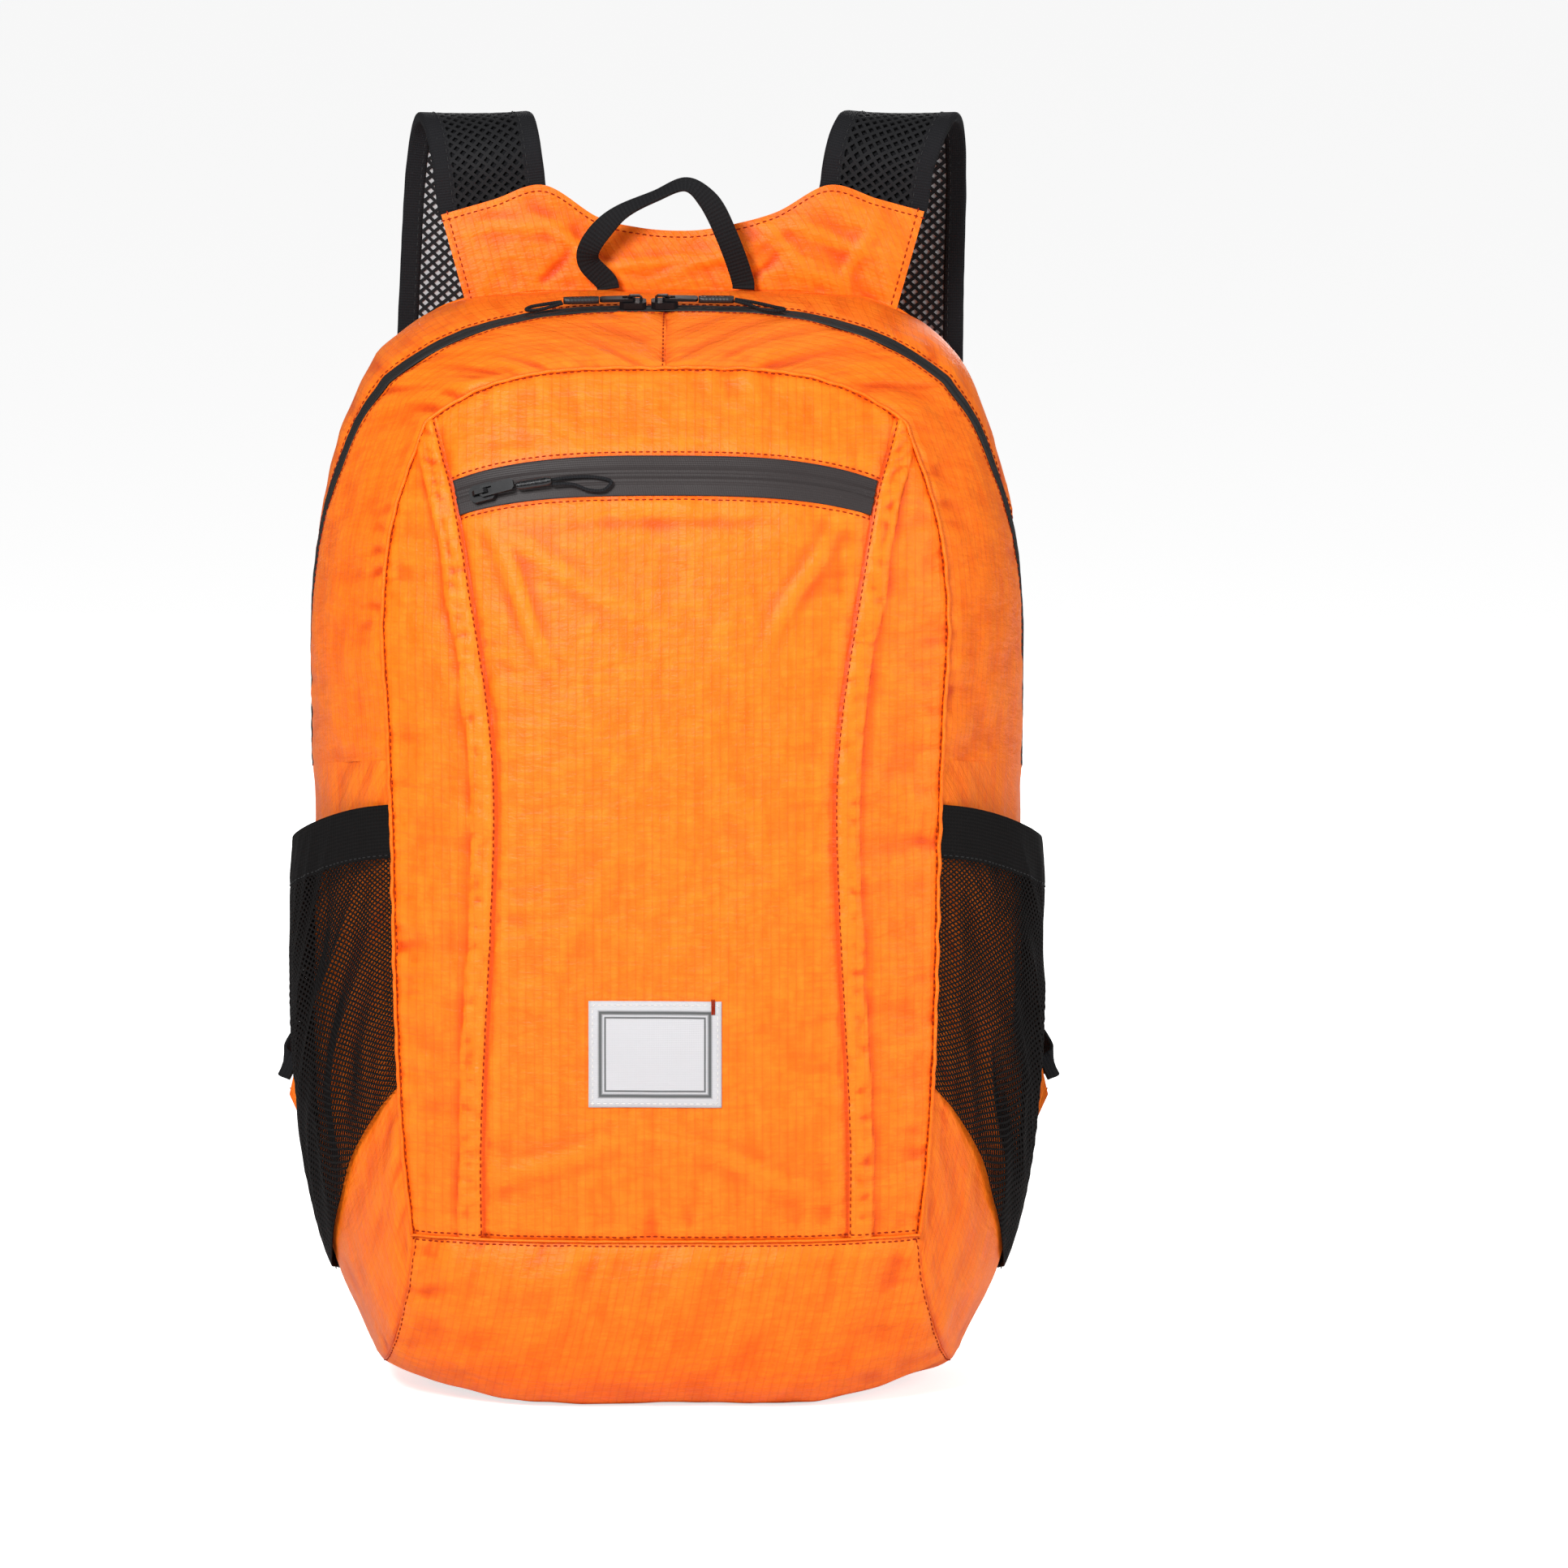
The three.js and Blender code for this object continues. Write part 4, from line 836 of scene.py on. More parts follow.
mainTape = bandMaterial(
    "mainTape", (0.01, 0.009, 0.009), (0.02, 0.018, 0.018), rib=0.0009, thread=0.0009, rough=0.5, depth=0.00004,
    gloss=0.22,
)
blackNet = plainMaterial(
    "blackNet", (0.004, 0.003, 0.003), (0.009, 0.008, 0.008), 0.8, 1500.0, 0.00005, **{"Specular IOR Level": 0.12},
)
strapNet = plainMaterial(
    "strapNet", (0.004, 0.004, 0.005), (0.012, 0.012, 0.013), 0.7, 1200.0, 0.00005, **{"Specular IOR Level": 0.2},
)
greyLining = plainMaterial("greyLining", (0.4, 0.4, 0.41), (0.55, 0.55, 0.56), 0.8, 1200.0, 0.00003)
redThread = plainMaterial(
    "redThread", (0.25, 0.016, 0.004), (0.33, 0.028, 0.005), 0.7, 2500.0, 0.00003, **{"Specular IOR Level": 0.1},
)
blackThread = plainMaterial("blackThread", (0.006, 0.006, 0.007), (0.014, 0.014, 0.015), 0.7, 2500.0, 0.00003)
whiteThread = plainMaterial("whiteThread", (0.7, 0.69, 0.66), (0.85, 0.84, 0.8), 0.6, 2500.0, 0.00003)
zipPlastic = plainMaterial(
    "zipPlastic", (0.004, 0.004, 0.005), (0.009, 0.009, 0.01), 0.36, 900.0, 0.00001, **{"Specular IOR Level": 0.2},
)
lockPlastic = plainMaterial("lockPlastic", (0.012, 0.012, 0.013), (0.02, 0.02, 0.022), 0.4, 700.0, 0.00002)
cordMaterial = bandMaterial("braidedCord", (0.004, 0.004, 0.005), (0.018, 0.018, 0.02), rib=0.0011, thread=0.0009)
gripRubber = plainMaterial("gripRubber", (0.006, 0.006, 0.007), (0.014, 0.014, 0.016), 0.4, 1100.0, 0.00003)


# Label cloth: a close white weave with a double frame line woven into it. Its place is otherwise bare.
labelSize = {
    "width": 52, "height": 42, "bottom": 124, "shift": -4, "grid": (40, 34), "stitchInset": 1.6,
    "frameLines": ((4.6, 0.9), (6.5, 0.4)), "lift": 0.95, "edgeDrop": 0.35, "under": 0.2, "stitchLift": 1,
    "tackRows": (1.2, 1.7, 2.2), "tackRun": (0.4, -4.6), "tackLift": 1.2,
}


def makeLabelMaterial():
    material, n, shader, place = startMaterial("labelCloth", {"Specular IOR Level": 0.25})
    split = n.add("ShaderNodeSeparateXYZ", {"Vector": place.outputs["UV"]}).outputs
    inset = []
    for axis, length in ((0, labelSize["width"]), (1, labelSize["height"])):
        centred = n.calc("ABSOLUTE", n.calc("SUBTRACT", split[axis], length / 2 * mm))
        inset.append(n.calc("SUBTRACT", length / 2 * mm, centred))
    far = n.calc("MINIMUM", inset[0], inset[1])
    ink = None
    for at, half in labelSize["frameLines"]:
        off = n.calc("ABSOLUTE", n.calc("SUBTRACT", far, at * mm))
        line = n.calc("SUBTRACT", 1.35, n.calc("DIVIDE", off, half * mm), clamp=True)
        ink = line if ink is None else n.calc("MAXIMUM", ink, line)
    weave = useGroup(n, "band", Vector=place.outputs["UV"], Rib=0.0005, Thread=0.0005)
    # Painted highlight on the raised threads of the label's weave and painted shade between them.
    cloth = n.blend(weave["Shade"], (0.46, 0.46, 0.48, 1), (0.58, 0.58, 0.6, 1))
    n.put(shader.inputs["Base Color"], n.blend(n.calc("MULTIPLY", ink, 0.95), cloth, (0.07, 0.075, 0.075, 1)))
    shader.inputs["Roughness"].default_value = 0.72
    bumpInto(n, shader, n.calc("ADD", weave["Height"], n.calc("MULTIPLY", ink, 1.2)), 0.00005)
    return material


labelCloth = makeLabelMaterial()


# Geometry Nodes: stitches along lines, and holes through a sheet.
def makeStitchTree():
    tree, n, start, end = nodeGroup(
        "stitchRun", "GeometryNodeTree",
        [("Geometry", "NodeSocketGeometry", None), ("Pitch", real, 0.003), ("Length", real, 0.0021),
         ("Radius", real, 0.0003), ("Material", "NodeSocketMaterial", None)],
        [("Geometry", "NodeSocketGeometry")],
    )
    curve = n.add("GeometryNodeMeshToCurve", {"Mesh": start["Geometry"]}).outputs[0]
    even = n.add("GeometryNodeResampleCurve", {"Curve": curve}, mode="LENGTH")
    n.put(even.inputs["Length"], start["Pitch"])
    tangent = n.add("GeometryNodeInputTangent").outputs[0]
    turn = n.add("FunctionNodeAlignRotationToVector", {"Vector": tangent}, axis="Z").outputs[0]
    ball = n.add("GeometryNodeMeshUVSphere", {"Segments": 5, "Rings": 3, "Radius": 1.0}).outputs[0]
    shape = n.add("ShaderNodeCombineXYZ", {
        "X": start["Radius"], "Y": start["Radius"], "Z": n.calc("MULTIPLY", start["Length"], 0.5),
    }).outputs[0]
    stitch = n.add("GeometryNodeTransform", {"Geometry": ball, "Scale": shape}).outputs[0]
    spread = n.add("GeometryNodeInstanceOnPoints", {
        "Points": even.outputs[0], "Instance": stitch, "Rotation": turn,
    }).outputs[0]
    whole = n.add("GeometryNodeRealizeInstances", {"Geometry": spread}).outputs[0]
    shaded = n.add("GeometryNodeSetShadeSmooth", {"Geometry": whole}).outputs[0]
    n.put(end[0], n.add("GeometryNodeSetMaterial", {"Geometry": shaded, "Material": start["Material"]}).outputs[0])
    return tree


def makeHoleTree():
    tree, n, start, end = nodeGroup(
        "piercedSheet", "GeometryNodeTree",
        [("Geometry", "NodeSocketGeometry", None), ("Hole", real, 0.6), ("Thickness", real, 0.0006),
         ("Material", "NodeSocketMaterial", None)],
        [("Geometry", "NodeSocketGeometry")],
    )
    share = n.add("GeometryNodeInputNamedAttribute", {"Name": "open"}, data_type="FLOAT").outputs[0]
    opening = n.calc("MULTIPLY", start["Hole"], share)
    inset = n.add("GeometryNodeExtrudeMesh", {
        "Mesh": start["Geometry"], "Offset Scale": 0.0, "Individual": True,
    }, mode="FACES")
    shrunk = n.add("GeometryNodeScaleElements", {
        "Geometry": inset.outputs["Mesh"], "Selection": inset.outputs["Top"], "Scale": opening,
    }, domain="FACE").outputs[0]
    net = n.add("GeometryNodeDeleteGeometry", {
        "Geometry": shrunk, "Selection": inset.outputs["Top"],
    }, domain="FACE").outputs[0]
    net = n.add("GeometryNodeMergeByDistance", {"Geometry": net, "Distance": 0.00002}).outputs[0]
    thick = n.add("GeometryNodeExtrudeMesh", {
        "Mesh": net, "Offset Scale": start["Thickness"], "Individual": False,
    }, mode="FACES").outputs["Mesh"]
    under = n.add("GeometryNodeFlipFaces", {"Mesh": net}).outputs[0]
    both = n.add("GeometryNodeJoinGeometry")
    tree.links.new(thick, both.inputs[0])
    tree.links.new(under, both.inputs[0])
    closed = n.add("GeometryNodeMergeByDistance", {"Geometry": both.outputs[0], "Distance": 0.00002}).outputs[0]
    flat = n.add("GeometryNodeSetShadeSmooth", {"Geometry": closed, "Shade Smooth": False}).outputs[0]
    whole = n.add("GeometryNodeRealizeInstances", {"Geometry": flat}).outputs[0]
    n.put(end[0], n.add("GeometryNodeSetMaterial", {"Geometry": whole, "Material": start["Material"]}).outputs[0])
    return tree


trees = {"stitch": makeStitchTree(), "holes": makeHoleTree()}


def bakeNodes(piece, key, **values):
    modifier = piece.modifiers.new(key, "NODES")
    modifier.node_group = trees[key]
    for item in trees[key].interface.items_tree:
        if item.item_type == "SOCKET" and item.in_out == "INPUT" and item.name in values:
            modifier[item.identifier] = values[item.name]
    bpy.context.view_layer.update()
    depsgraph = bpy.context.evaluated_depsgraph_get()
    baked = bpy.data.meshes.new_from_object(piece.evaluated_get(depsgraph))
    piece.modifiers.clear()
    piece.data = baked
    baked.name = piece.name


def stitchLines(name, lines, material, pitch=2.7, length=1.9, radius=0.3):
    verts, edges = [], []
    for line in lines:
        edges += [(len(verts) + i, len(verts) + i + 1) for i in range(len(line) - 1)]
        verts += (line * mm).tolist()
    mesh = bpy.data.meshes.new(name)
    mesh.from_pydata(verts, edges, [])
    piece = addObject(name, mesh)
    bakeNodes(piece, "stitch", Pitch=pitch * mm, Length=length * mm, Radius=radius * mm, Material=material)
    finishPiece(piece)


# Pull cords.
cordDiameter = 1.4
cordRoutes = {
    "front": [
        (-44.13, -59.63, 368.94), (-36.1, -58.5, 369.77), (-27.05, -58.53, 369.73), (-20.93, -59.77, 368.05),
        (-23.73, -60.74, 365.01), (-29.74, -60.45, 364.93), (-35.92, -59.74, 367.04), (-44.02, -60.31, 367.28),
    ],
    "main_left": [
        (-40.93, 8.13, 430.99), (-47.52, 5.87, 429.27), (-52.93, 5.19, 428.45), (-55.27, 6.77, 428.66),
        (-53.7, 9, 429.4), (-48.36, 10.06, 430.32), (-41.28, 9.84, 431.42),
    ],
    "main_right": [
        (27.04, 11.84, 432.2), (35.04, 11.69, 430.87), (42.81, 9.02, 429.4), (46.56, 6.33, 428.78),
        (43.34, 4.09, 428.24), (37.45, 5.56, 428.77), (32.73, 8.53, 430.34), (26.87, 10.1, 431.78),
    ],
}


def buildCords():
    ring = circle(cordDiameter / 2, 12)
    for name, route in cordRoutes.items():
        line = smoothLine(route, 72)
        middle = np.array(route).mean(0) - np.array([0, 0, 300])
        across, up = frames(line, lambda share, along: np.cross(middle, along))
        cord = ribbon(
            f"pullCord_{name}", line, across, up, ring, cordMaterial, [f"pull_cord_{name}"],
        )


print("cords")
buildCords()


# Sewn shell.
# Each panel: columns and rows of its grid, its soft forms, and what its seams do: pucker depth, valley
# depth and pucker spacing, in millimetres. Creases: x, z, turn, half length, half width, rise.
shell = {
    "front_panel": {
        "grid": (96, 180), "seed": 11, "billow": 1.8, "crinkle": 0.45, "folds": 0.35, "reach": 11,
        "left": (1.0, 1.0, 9), "right": (1.0, 1.0, 9), "low": (0.9, 0.9, 7), "high": (0.8, 0.7, 8),
        "creases": [
            (-56, 322, -64, 26, 3, 1.5), (-44, 336, -28, 30, 3.5, 1.0), (54, 330, 62, 24, 3, 1.3),
            (38, 226, -58, 30, 5, 0.7), (-34, 200, 66, 28, 5, 0.7), (-44, 102, 24, 26, 4, 1.0),
            (36, 98, -20, 30, 4, 1.0), (4, 352, 4, 46, 4, -0.8),
        ],
    },
    "front_top_panel": {
        "grid": (110, 30), "seed": 13, "billow": 0.8, "crinkle": 0.5, "folds": 0.4, "reach": 9,
        "low": (0.6, 0.7, 7), "high": (1.0, 0.8, 7), "left": (0.6, 0.8, 7), "right": (0.6, 0.8, 7),
    },
    "front_side_strip": {
        "grid": (36, 200), "seed": 17, "billow": 1.3, "crinkle": 0.6, "folds": 0.5, "reach": 11,
        "left": (0.6, 1.0, 8), "right": (1.5, 0.9, 8), "low": (0.6, 0.5, 8), "high": (0.6, 0.4, 7),
        "allowance": ("left", 11, 0.9),
    },
    "front_gusset": {
        "grid": (64, 150), "seed": 19, "billow": 2.4, "crinkle": 0.7, "folds": 0.3, "reach": 15,
        "left": (2.1, 0.9, 10), "right": (0.9, 0.5, 8), "low": (0, 0, 8), "high": (0.6, 0.5, 7),
    },
    "side_panel": {
        "grid": (70, 86), "seed": 23, "billow": 2.0, "crinkle": 0.8, "folds": 0.3,
        "left": (1.8, 0.8, 9), "right": (0.8, 0.4, 8), "low": (1.3, 0.8, 8), "high": (0, 0, 8),
    },
    "rear_strip": {
        "grid": (200, 26), "seed": 29, "billow": 1.1, "crinkle": 0.8, "folds": 0.3, "reach": 12,
        "low": (0.9, 0.5, 7), "high": (0.9, 0.3, 7), "left": (0.2, 0, 7), "right": (0.2, 0, 7),
    },
    "base_panel": {
        "grid": (110, 64), "seed": 31, "billow": 1.5, "crinkle": 0.7, "folds": 0.6,
        "low": (1.1, 0.9, 7), "high": (0.6, 0.4, 8), "left": (1.6, 1.0, 8), "right": (1.6, 1.0, 8),
    },
    "back_panel": {
        "grid": (80, 112), "seed": 37, "billow": 2.4, "crinkle": 0.4, "folds": 0.4,
        "low": (0.6, 0.4, 8), "high": (0.8, 0.4, 8), "left": (0.8, 0.4, 8), "right": (0.8, 0.4, 8),
    },
}


def frontUv(grid):
    return np.stack([grid[..., 0], grid[..., 2]], -1)


def panel(name, surface, key=None, material=None, uvOf=None, shift=0):
    look = shell[key or name]
    clothPanel(
        name, surface, look["grid"], look, look["seed"] + shift, material or orange, [name], uvOf,
    )


def buildShell():
    panel("front_panel", frontRegion(lambda a: 0 * a, zipLow), uvOf=frontUv)
    panel("front_top_panel", frontRegion(zipHigh, lambda a: 1 + 0 * a), uvOf=frontUv)
    panel("base_panel", lambda u, v: basePanel(u * 2 - 1, v))
    panel("back_panel", lambda u, v: backPanel(u * 2 - 1, v), material=orangeBack)
    rear = lambda run: zipSide(run) + zipHalf(run)
    panel("rear_strip", lambda u, v: archPoint(u, lambda run: mix(rear(run), 1, v)))
    for side, hand in sides:
        shift = 100 * (side + 1)
        panel(
            f"front_side_strip_{hand}", lambda u, v: frontFace(side * mix(princess(v), 1, u), v),
            "front_side_strip", uvOf=frontUv, shift=shift,
        )
        panel(
            f"side_panel_{hand}", lambda u, v: gusset(side, v * size["zipEnd"], u), "side_panel", shift=shift,
        )

        def fore(u, v):
            run = mix(size["zipEnd"], 1, v)
            return gusset(side, run, u * (zipSide(run) - zipHalf(run)))

        panel(f"front_gusset_{hand}", fore, "front_gusset", shift=shift)


print("shell")
buildShell()


# Piped seam between the front and the sides: a fold of cloth that runs in and out a little.
piping = {
    "radius": 0.75, "wander": 0.9, "rearRadius": 0.8, "rearWander": 0.4, "kickRadius": 0.55, "kickWander": 0.2,
    "steps": 420,
}


def seamTube(name, line, radius, seed, wander, material):
    line = evenLine(line, piping["steps"])
    far = arcs(line[None], 1)[0]
    out = unit(line - bagMiddle)
    line = line + out * (wander * ripple(far / 7, 0 * far, seed) + 0.1)[:, None]
    across, up = frames(line, lambda share, along: np.cross(line[int(share * (len(line) - 1))], along))
    scale = 1 + 0.2 * ripple(far / 5, 0 * far, seed + 1)
    ribbon(name, line, across, up, circle(radius, 8), material, (), scale)


def buildSeams():
    run = np.linspace(0, 1, 400)
    front = np.concatenate([frontSeam(-1, run), frontSeam(1, run[::-1])[1:]])
    seamTube("frontPiping", front, piping["radius"], 41, piping["wander"], orange)
    rear = np.concatenate([rearSeam(-1, run), rearSeam(1, run[::-1])[1:]])
    seamTube("rearPiping", rear, piping["rearRadius"], 42, piping["rearWander"], orangeBack)
    low = basePanel(np.linspace(-1, 1, 400), np.zeros(400))
    seamTube("kickSeam", low, piping["kickRadius"], 43, piping["kickWander"], orange)


print("seams")
buildSeams()


# Zips.
zipLook = {
    "coil": 3.1, "rise": 0.55, "valley": 0.9, "slit": 0.42, "pitch": 1.15, "tooth": 0.07, "wave": 0.4,
    "thickness": 0.6, "frontGrid": (260, 21), "mainGrid": (560, 11),
}


def buildZip(name, surface, counts, width, seed, material):
    u, v = shareGrid(*counts)
    grid = surface(u, v)
    facing = facingOf(grid)
    normal = gridNormals(grid, facing)
    off = (v - 0.5) * width
    run = arcs(grid, 1)
    inside = zipLook["coil"] - np.abs(off)
    rise = zipLook["rise"] * smooth(inside / 0.8)
    rise = rise - zipLook["valley"] * np.exp(-((off / zipLook["slit"]) ** 2))
    rise = rise + zipLook["tooth"] * np.sin(run / zipLook["pitch"] * 2 * np.pi) * smooth(inside / 0.6)
    rise = rise + zipLook["wave"] * (ripple(run / 26, off / 30, seed) - 0.5)
    outer = grid + normal * rise[..., None]
    inner = outer - normal * zipLook["thickness"]
    verts, quads, uv = shellMesh(outer, inner, facing, arcUv(grid))
    grids[name] = (outer, normal)
    makeObject(name, verts, quads, uv, material, [name])


def buildZips():
    front = frontRegion(zipLow, zipHigh)
    buildZip("front_pocket_zip", front, zipLook["frontGrid"], size["zipHeight"], 51, zipTape)
    arch = lambda u, v: archPoint(u, lambda run: zipSide(run) + zipHalf(run) * (v * 2 - 1))
    buildZip("main_zip", arch, zipLook["mainGrid"], size["mainZip"], 53, mainTape)


print("zips")
buildZips()


# Side pockets.
pockets = {
    "front": 240, "side": 209, "hem": 21, "bulge": 6.2, "binding": 11, "seat": 0.3, "thickness": 1,
    "hemThick": 1.6, "fold": 3.6, "pitch": 2.1, "hole": 0.68, "outerHole": 0.43, "sheet": 0.45,
    "netSize": (150, 140), "far": 0.985, "hemGrid": (120, 18), "bindingGrid": (12, 80), "cloth": 1.4,
}


def pocketTop(across):
    return mix(pockets["front"], pockets["side"], smooth(across / 0.7) * 0.4 + across * 0.6)


def pocketLow(across):
    return pockets["side"] * follow(pocketTable, "up", across)


def pocketSurface(side, lowOf, highOf, near, far, thickness, seed):
    def surface(u, v):
        across = mix(near, far, u)
        height = mix(lowOf(across), highOf(across), v)
        share = np.clip((height - pocketLow(across)) / (pocketTop(across) - pocketLow(across)), 0, 1)
        lift = pockets["bulge"] * np.sin(np.pi * np.clip(across, 0, 1)) ** 0.9 * (1 - (1 - share) ** 2.2)
        fold = pockets["fold"] * creased(across * 8 + height / 45 + seed, height / 110 - across * 1.5, seed)
        lift = lift + fold * np.sin(np.pi * np.clip(across / 0.9, 0, 1)) * np.sin(np.pi * share) ** 0.6
        run = sideRun(side, across, height)
        point = gusset(side, run, across)
        out = unit(np.cross(gusset(side, run + 1e-3, across) - point, gusset(side, run, across + 1e-3) - point))
        out = out * np.sign(out[..., :1] * side)
        stand = pockets["seat"] + (0.8 + thickness) * smooth(across / 0.08)
        return point + out * (stand + lift)[..., None]
    return surface


# Lattice of diamonds, pitch being a diamond's edge, on a surface whose width and length are the spans.
def latticeSheet(name, surface, spans, pitch, openOf):
    columns, rows = (max(2 * int(round(span / pitch / math.sqrt(2))), 4) for span in spans)
    u, v = shareGrid(columns + 1, rows + 1)
    grid = surface(u, v)
    index = np.arange(grid.shape[0] * grid.shape[1]).reshape(grid.shape[:2])
    wide = np.pad(index, 1, mode="edge")
    corners = np.stack([wide[1:-1, :-2], wide[:-2, 1:-1], wide[1:-1, 2:], wide[2:, 1:-1]], -1)
    faces = corners[np.indices(index.shape).sum(0) % 2 == 1]
    if facingOf(grid) < 0:
        faces = faces[:, ::-1]
    used, faces = np.unique(faces, return_inverse=True)
    verts = grid.reshape(-1, 3)[used] * mm
    mesh = bpy.data.meshes.new(name)
    mesh.from_pydata(verts.tolist(), [], faces.reshape(-1, 4).tolist())
    mesh.attributes.new("open", "FLOAT", "POINT").data.foreach_set("value", openOf(u.ravel()[used]))
    return addObject(name, mesh)


# Net: a lattice sheet with a hole in each diamond. openOf scales the holes across the width.
def piercedPiece(
    name, surface, spans, pitch, hole, thickness, material, replaced, openOf=np.ones_like,
):
    piece = latticeSheet(name, surface, spans, pitch, openOf)
    bakeNodes(piece, "holes", Hole=hole, Thickness=thickness * mm, Material=material)
    finishPiece(piece, replaced)


def plainSheet(name, surface, counts, thickness, material, replaced, seed, look):
    plain = {"billow": 0, "crinkle": 0, "thick": thickness}
    clothPanel(name, surface, counts, {**plain, **look}, seed, material, replaced)


flatEdges = {"left": (0, 0, 8), "right": (0, 0, 8), "low": (0, 0, 8), "high": (0, 0, 8)}


# The net's holes get smaller toward the outer edge.
def outerNet(u):
    return mix(1, pockets["outerHole"] / pockets["hole"], smooth((u - 0.35) / 0.25))


def buildPockets():
    far = pockets["far"]
    netEnd = far - pockets["binding"] / (size["frontReach"] + size["backReach"])
    hemLow = lambda across: pocketTop(across) - pockets["hem"]
    for side, hand in sides:
        seed = 60 + side
        net = pocketSurface(side, pocketLow, hemLow, 0, netEnd, pockets["thickness"], seed)
        piercedPiece(
            f"pocketNet_{hand}", net, pockets["netSize"], pockets["pitch"], pockets["hole"], pockets["sheet"],
            blackNet, [f"pocket_net_{hand}"], outerNet,
        )
        hem = pocketSurface(side, hemLow, pocketTop, 0, far, pockets["hemThick"], seed)
        plainSheet(
            f"pocketHem_{hand}", hem, pockets["hemGrid"], pockets["cloth"], blackElastic,
            [f"pocket_hem_{hand}"], seed, {**flatEdges, "low": (0.25, 0.3, 4), "crinkle": 0.3},
        )
        band = pocketSurface(side, pocketLow, hemLow, netEnd, far, pockets["hemThick"], seed)
        plainSheet(
            f"pocketBinding_{hand}", band, pockets["bindingGrid"], pockets["cloth"], blackBinding,
            [f"pocket_binding_{hand}"], seed, flatEdges,
        )


print("pockets")
buildPockets()


# Yoke, straps, webbing and handle.
carry = {
    "yokeHalf": 93, "yokeHeight": 42.5, "strapWidth": 44, "bindingWidth": 8.5, "bindingFold": 3.9,
    "archHeight": 67, "standOff": 49, "webbing": 20, "webbingThick": 1.5, "handleHeight": 42, "handleSpread": 56,
    "handleWidth": 9.8, "handleThick": 1.5, "handleTwist": 52, "handleFold": 0.47, "tabReach": 17,
    "lockHeight": 24, "holePitch": 2.9, "hole": 0.6, "linedShare": 0.16, "seat": 0.3, "netUnder": 2.4,
    "netLift": 1.1, "netThick": 0.8, "liningThick": 0.4, "stitchIn": 1.7, "tabCloth": 2.0, "yokeCloth": 2.6,
    "yokeLean": 4, "handleSeat": 0.93, "handleLift": 0.9, "handleNarrow": 0.34, "twistSpan": 0.16,
    "narrowSpan": 0.17, "tabFoot": (0.115, 0.215), "tabMiddle": 0.72, "tabLift": 1.1, "strapSlant": 0.26,
    "slantShare": 0.12, "bindingGap": 0.3, "bindingWave": 0.05, "stitchLift": 0.12,
}
strapRows = {
    "left": [
        (-0.745, 0.15, 0.47), (-0.757, 0.14, 0.58), (-0.775, 0.14, 0.79), (-0.8, 0.29, 0.95), (-0.84, 0.55, 1),
        (-0.87, 0.83, 0.9), (-0.9, 0.97, 0.62), (-0.93, 1, -0.1), (-0.97, 1, -1.2), (-1.05, 0.92, -2.25),
        (-1.12, 0.78, -3.15), (-1.16, 0.66, -3.75),
    ],
    "right": [
        (0.87, 0.15, 0.47), (0.887, 0.14, 0.585), (0.91, 0.14, 0.79), (0.96, 0.29, 0.95), (1.01, 0.55, 1),
        (1.04, 0.83, 0.9), (1.05, 0.97, 0.62), (1.04, 1, -0.1), (1.04, 1, -1.2), (1.08, 0.92, -2.25),
        (1.13, 0.78, -3.15), (1.16, 0.66, -3.75),
    ],
}
handleRows = [
    (-0.42, 0, 0), (-0.43, 0, 0.06), (-0.56, 0.08, 0.27), (-0.55, 0.16, 0.42), (-0.36, 0.2, 0.72),
    (-0.08, 0.22, 0.91), (0.14, 0.24, 1.02), (0.29, 0.22, 0.87), (0.43, 0.16, 0.5), (0.54, 0, 0.05), (0.54, 0, 0),
]
webbingRows = [(0, 0, 0), (0.08, 0.42, 0.1), (0.22, 0.3, 0.5), (0.5, 0.05, 0.55), (0.8, -0.05, 0.3), (1, 0, 0)]


def yokeSurface(u, v):
    foot = size["height"] + 2 * carry["seat"]
    across = follow(yokeTable, "across", u) * carry["yokeHalf"]
    root = follow(yokeTable, "foot", u) * carry["yokeHalf"]
    corner = size["cornerRun"]
    run = mix(1, corner, np.clip(np.abs(root) / rearSeam(1, corner)[0], 0, 1))
    low = np.minimum(foot, rearSeam(1, run)[..., 2] + carry["seat"] * mix(2, 6, smooth(np.abs(u - 0.5) * 2)))
    high = foot + carry["yokeHeight"] * follow(yokeTable, "up", u)
    return points(mix(root, across, v), size["backReach"] - 1 + carry["yokeLean"] * v ** 2, mix(low, high, v))


def strapFrames(hand, side):
    line = smoothLine([
        (x * carry["yokeHalf"], size["backReach"] + y * carry["standOff"], size["height"] + z * carry["archHeight"])
        for x, y, z in strapRows[hand]
    ], 300)
    slant, plain = np.array([1, 0, -side * carry["strapSlant"]]), np.array([1.0, 0, 0])
    across, up = frames(line, lambda share, along: mix(slant, plain, smooth(share / carry["slantShare"])))
    return line, across, up


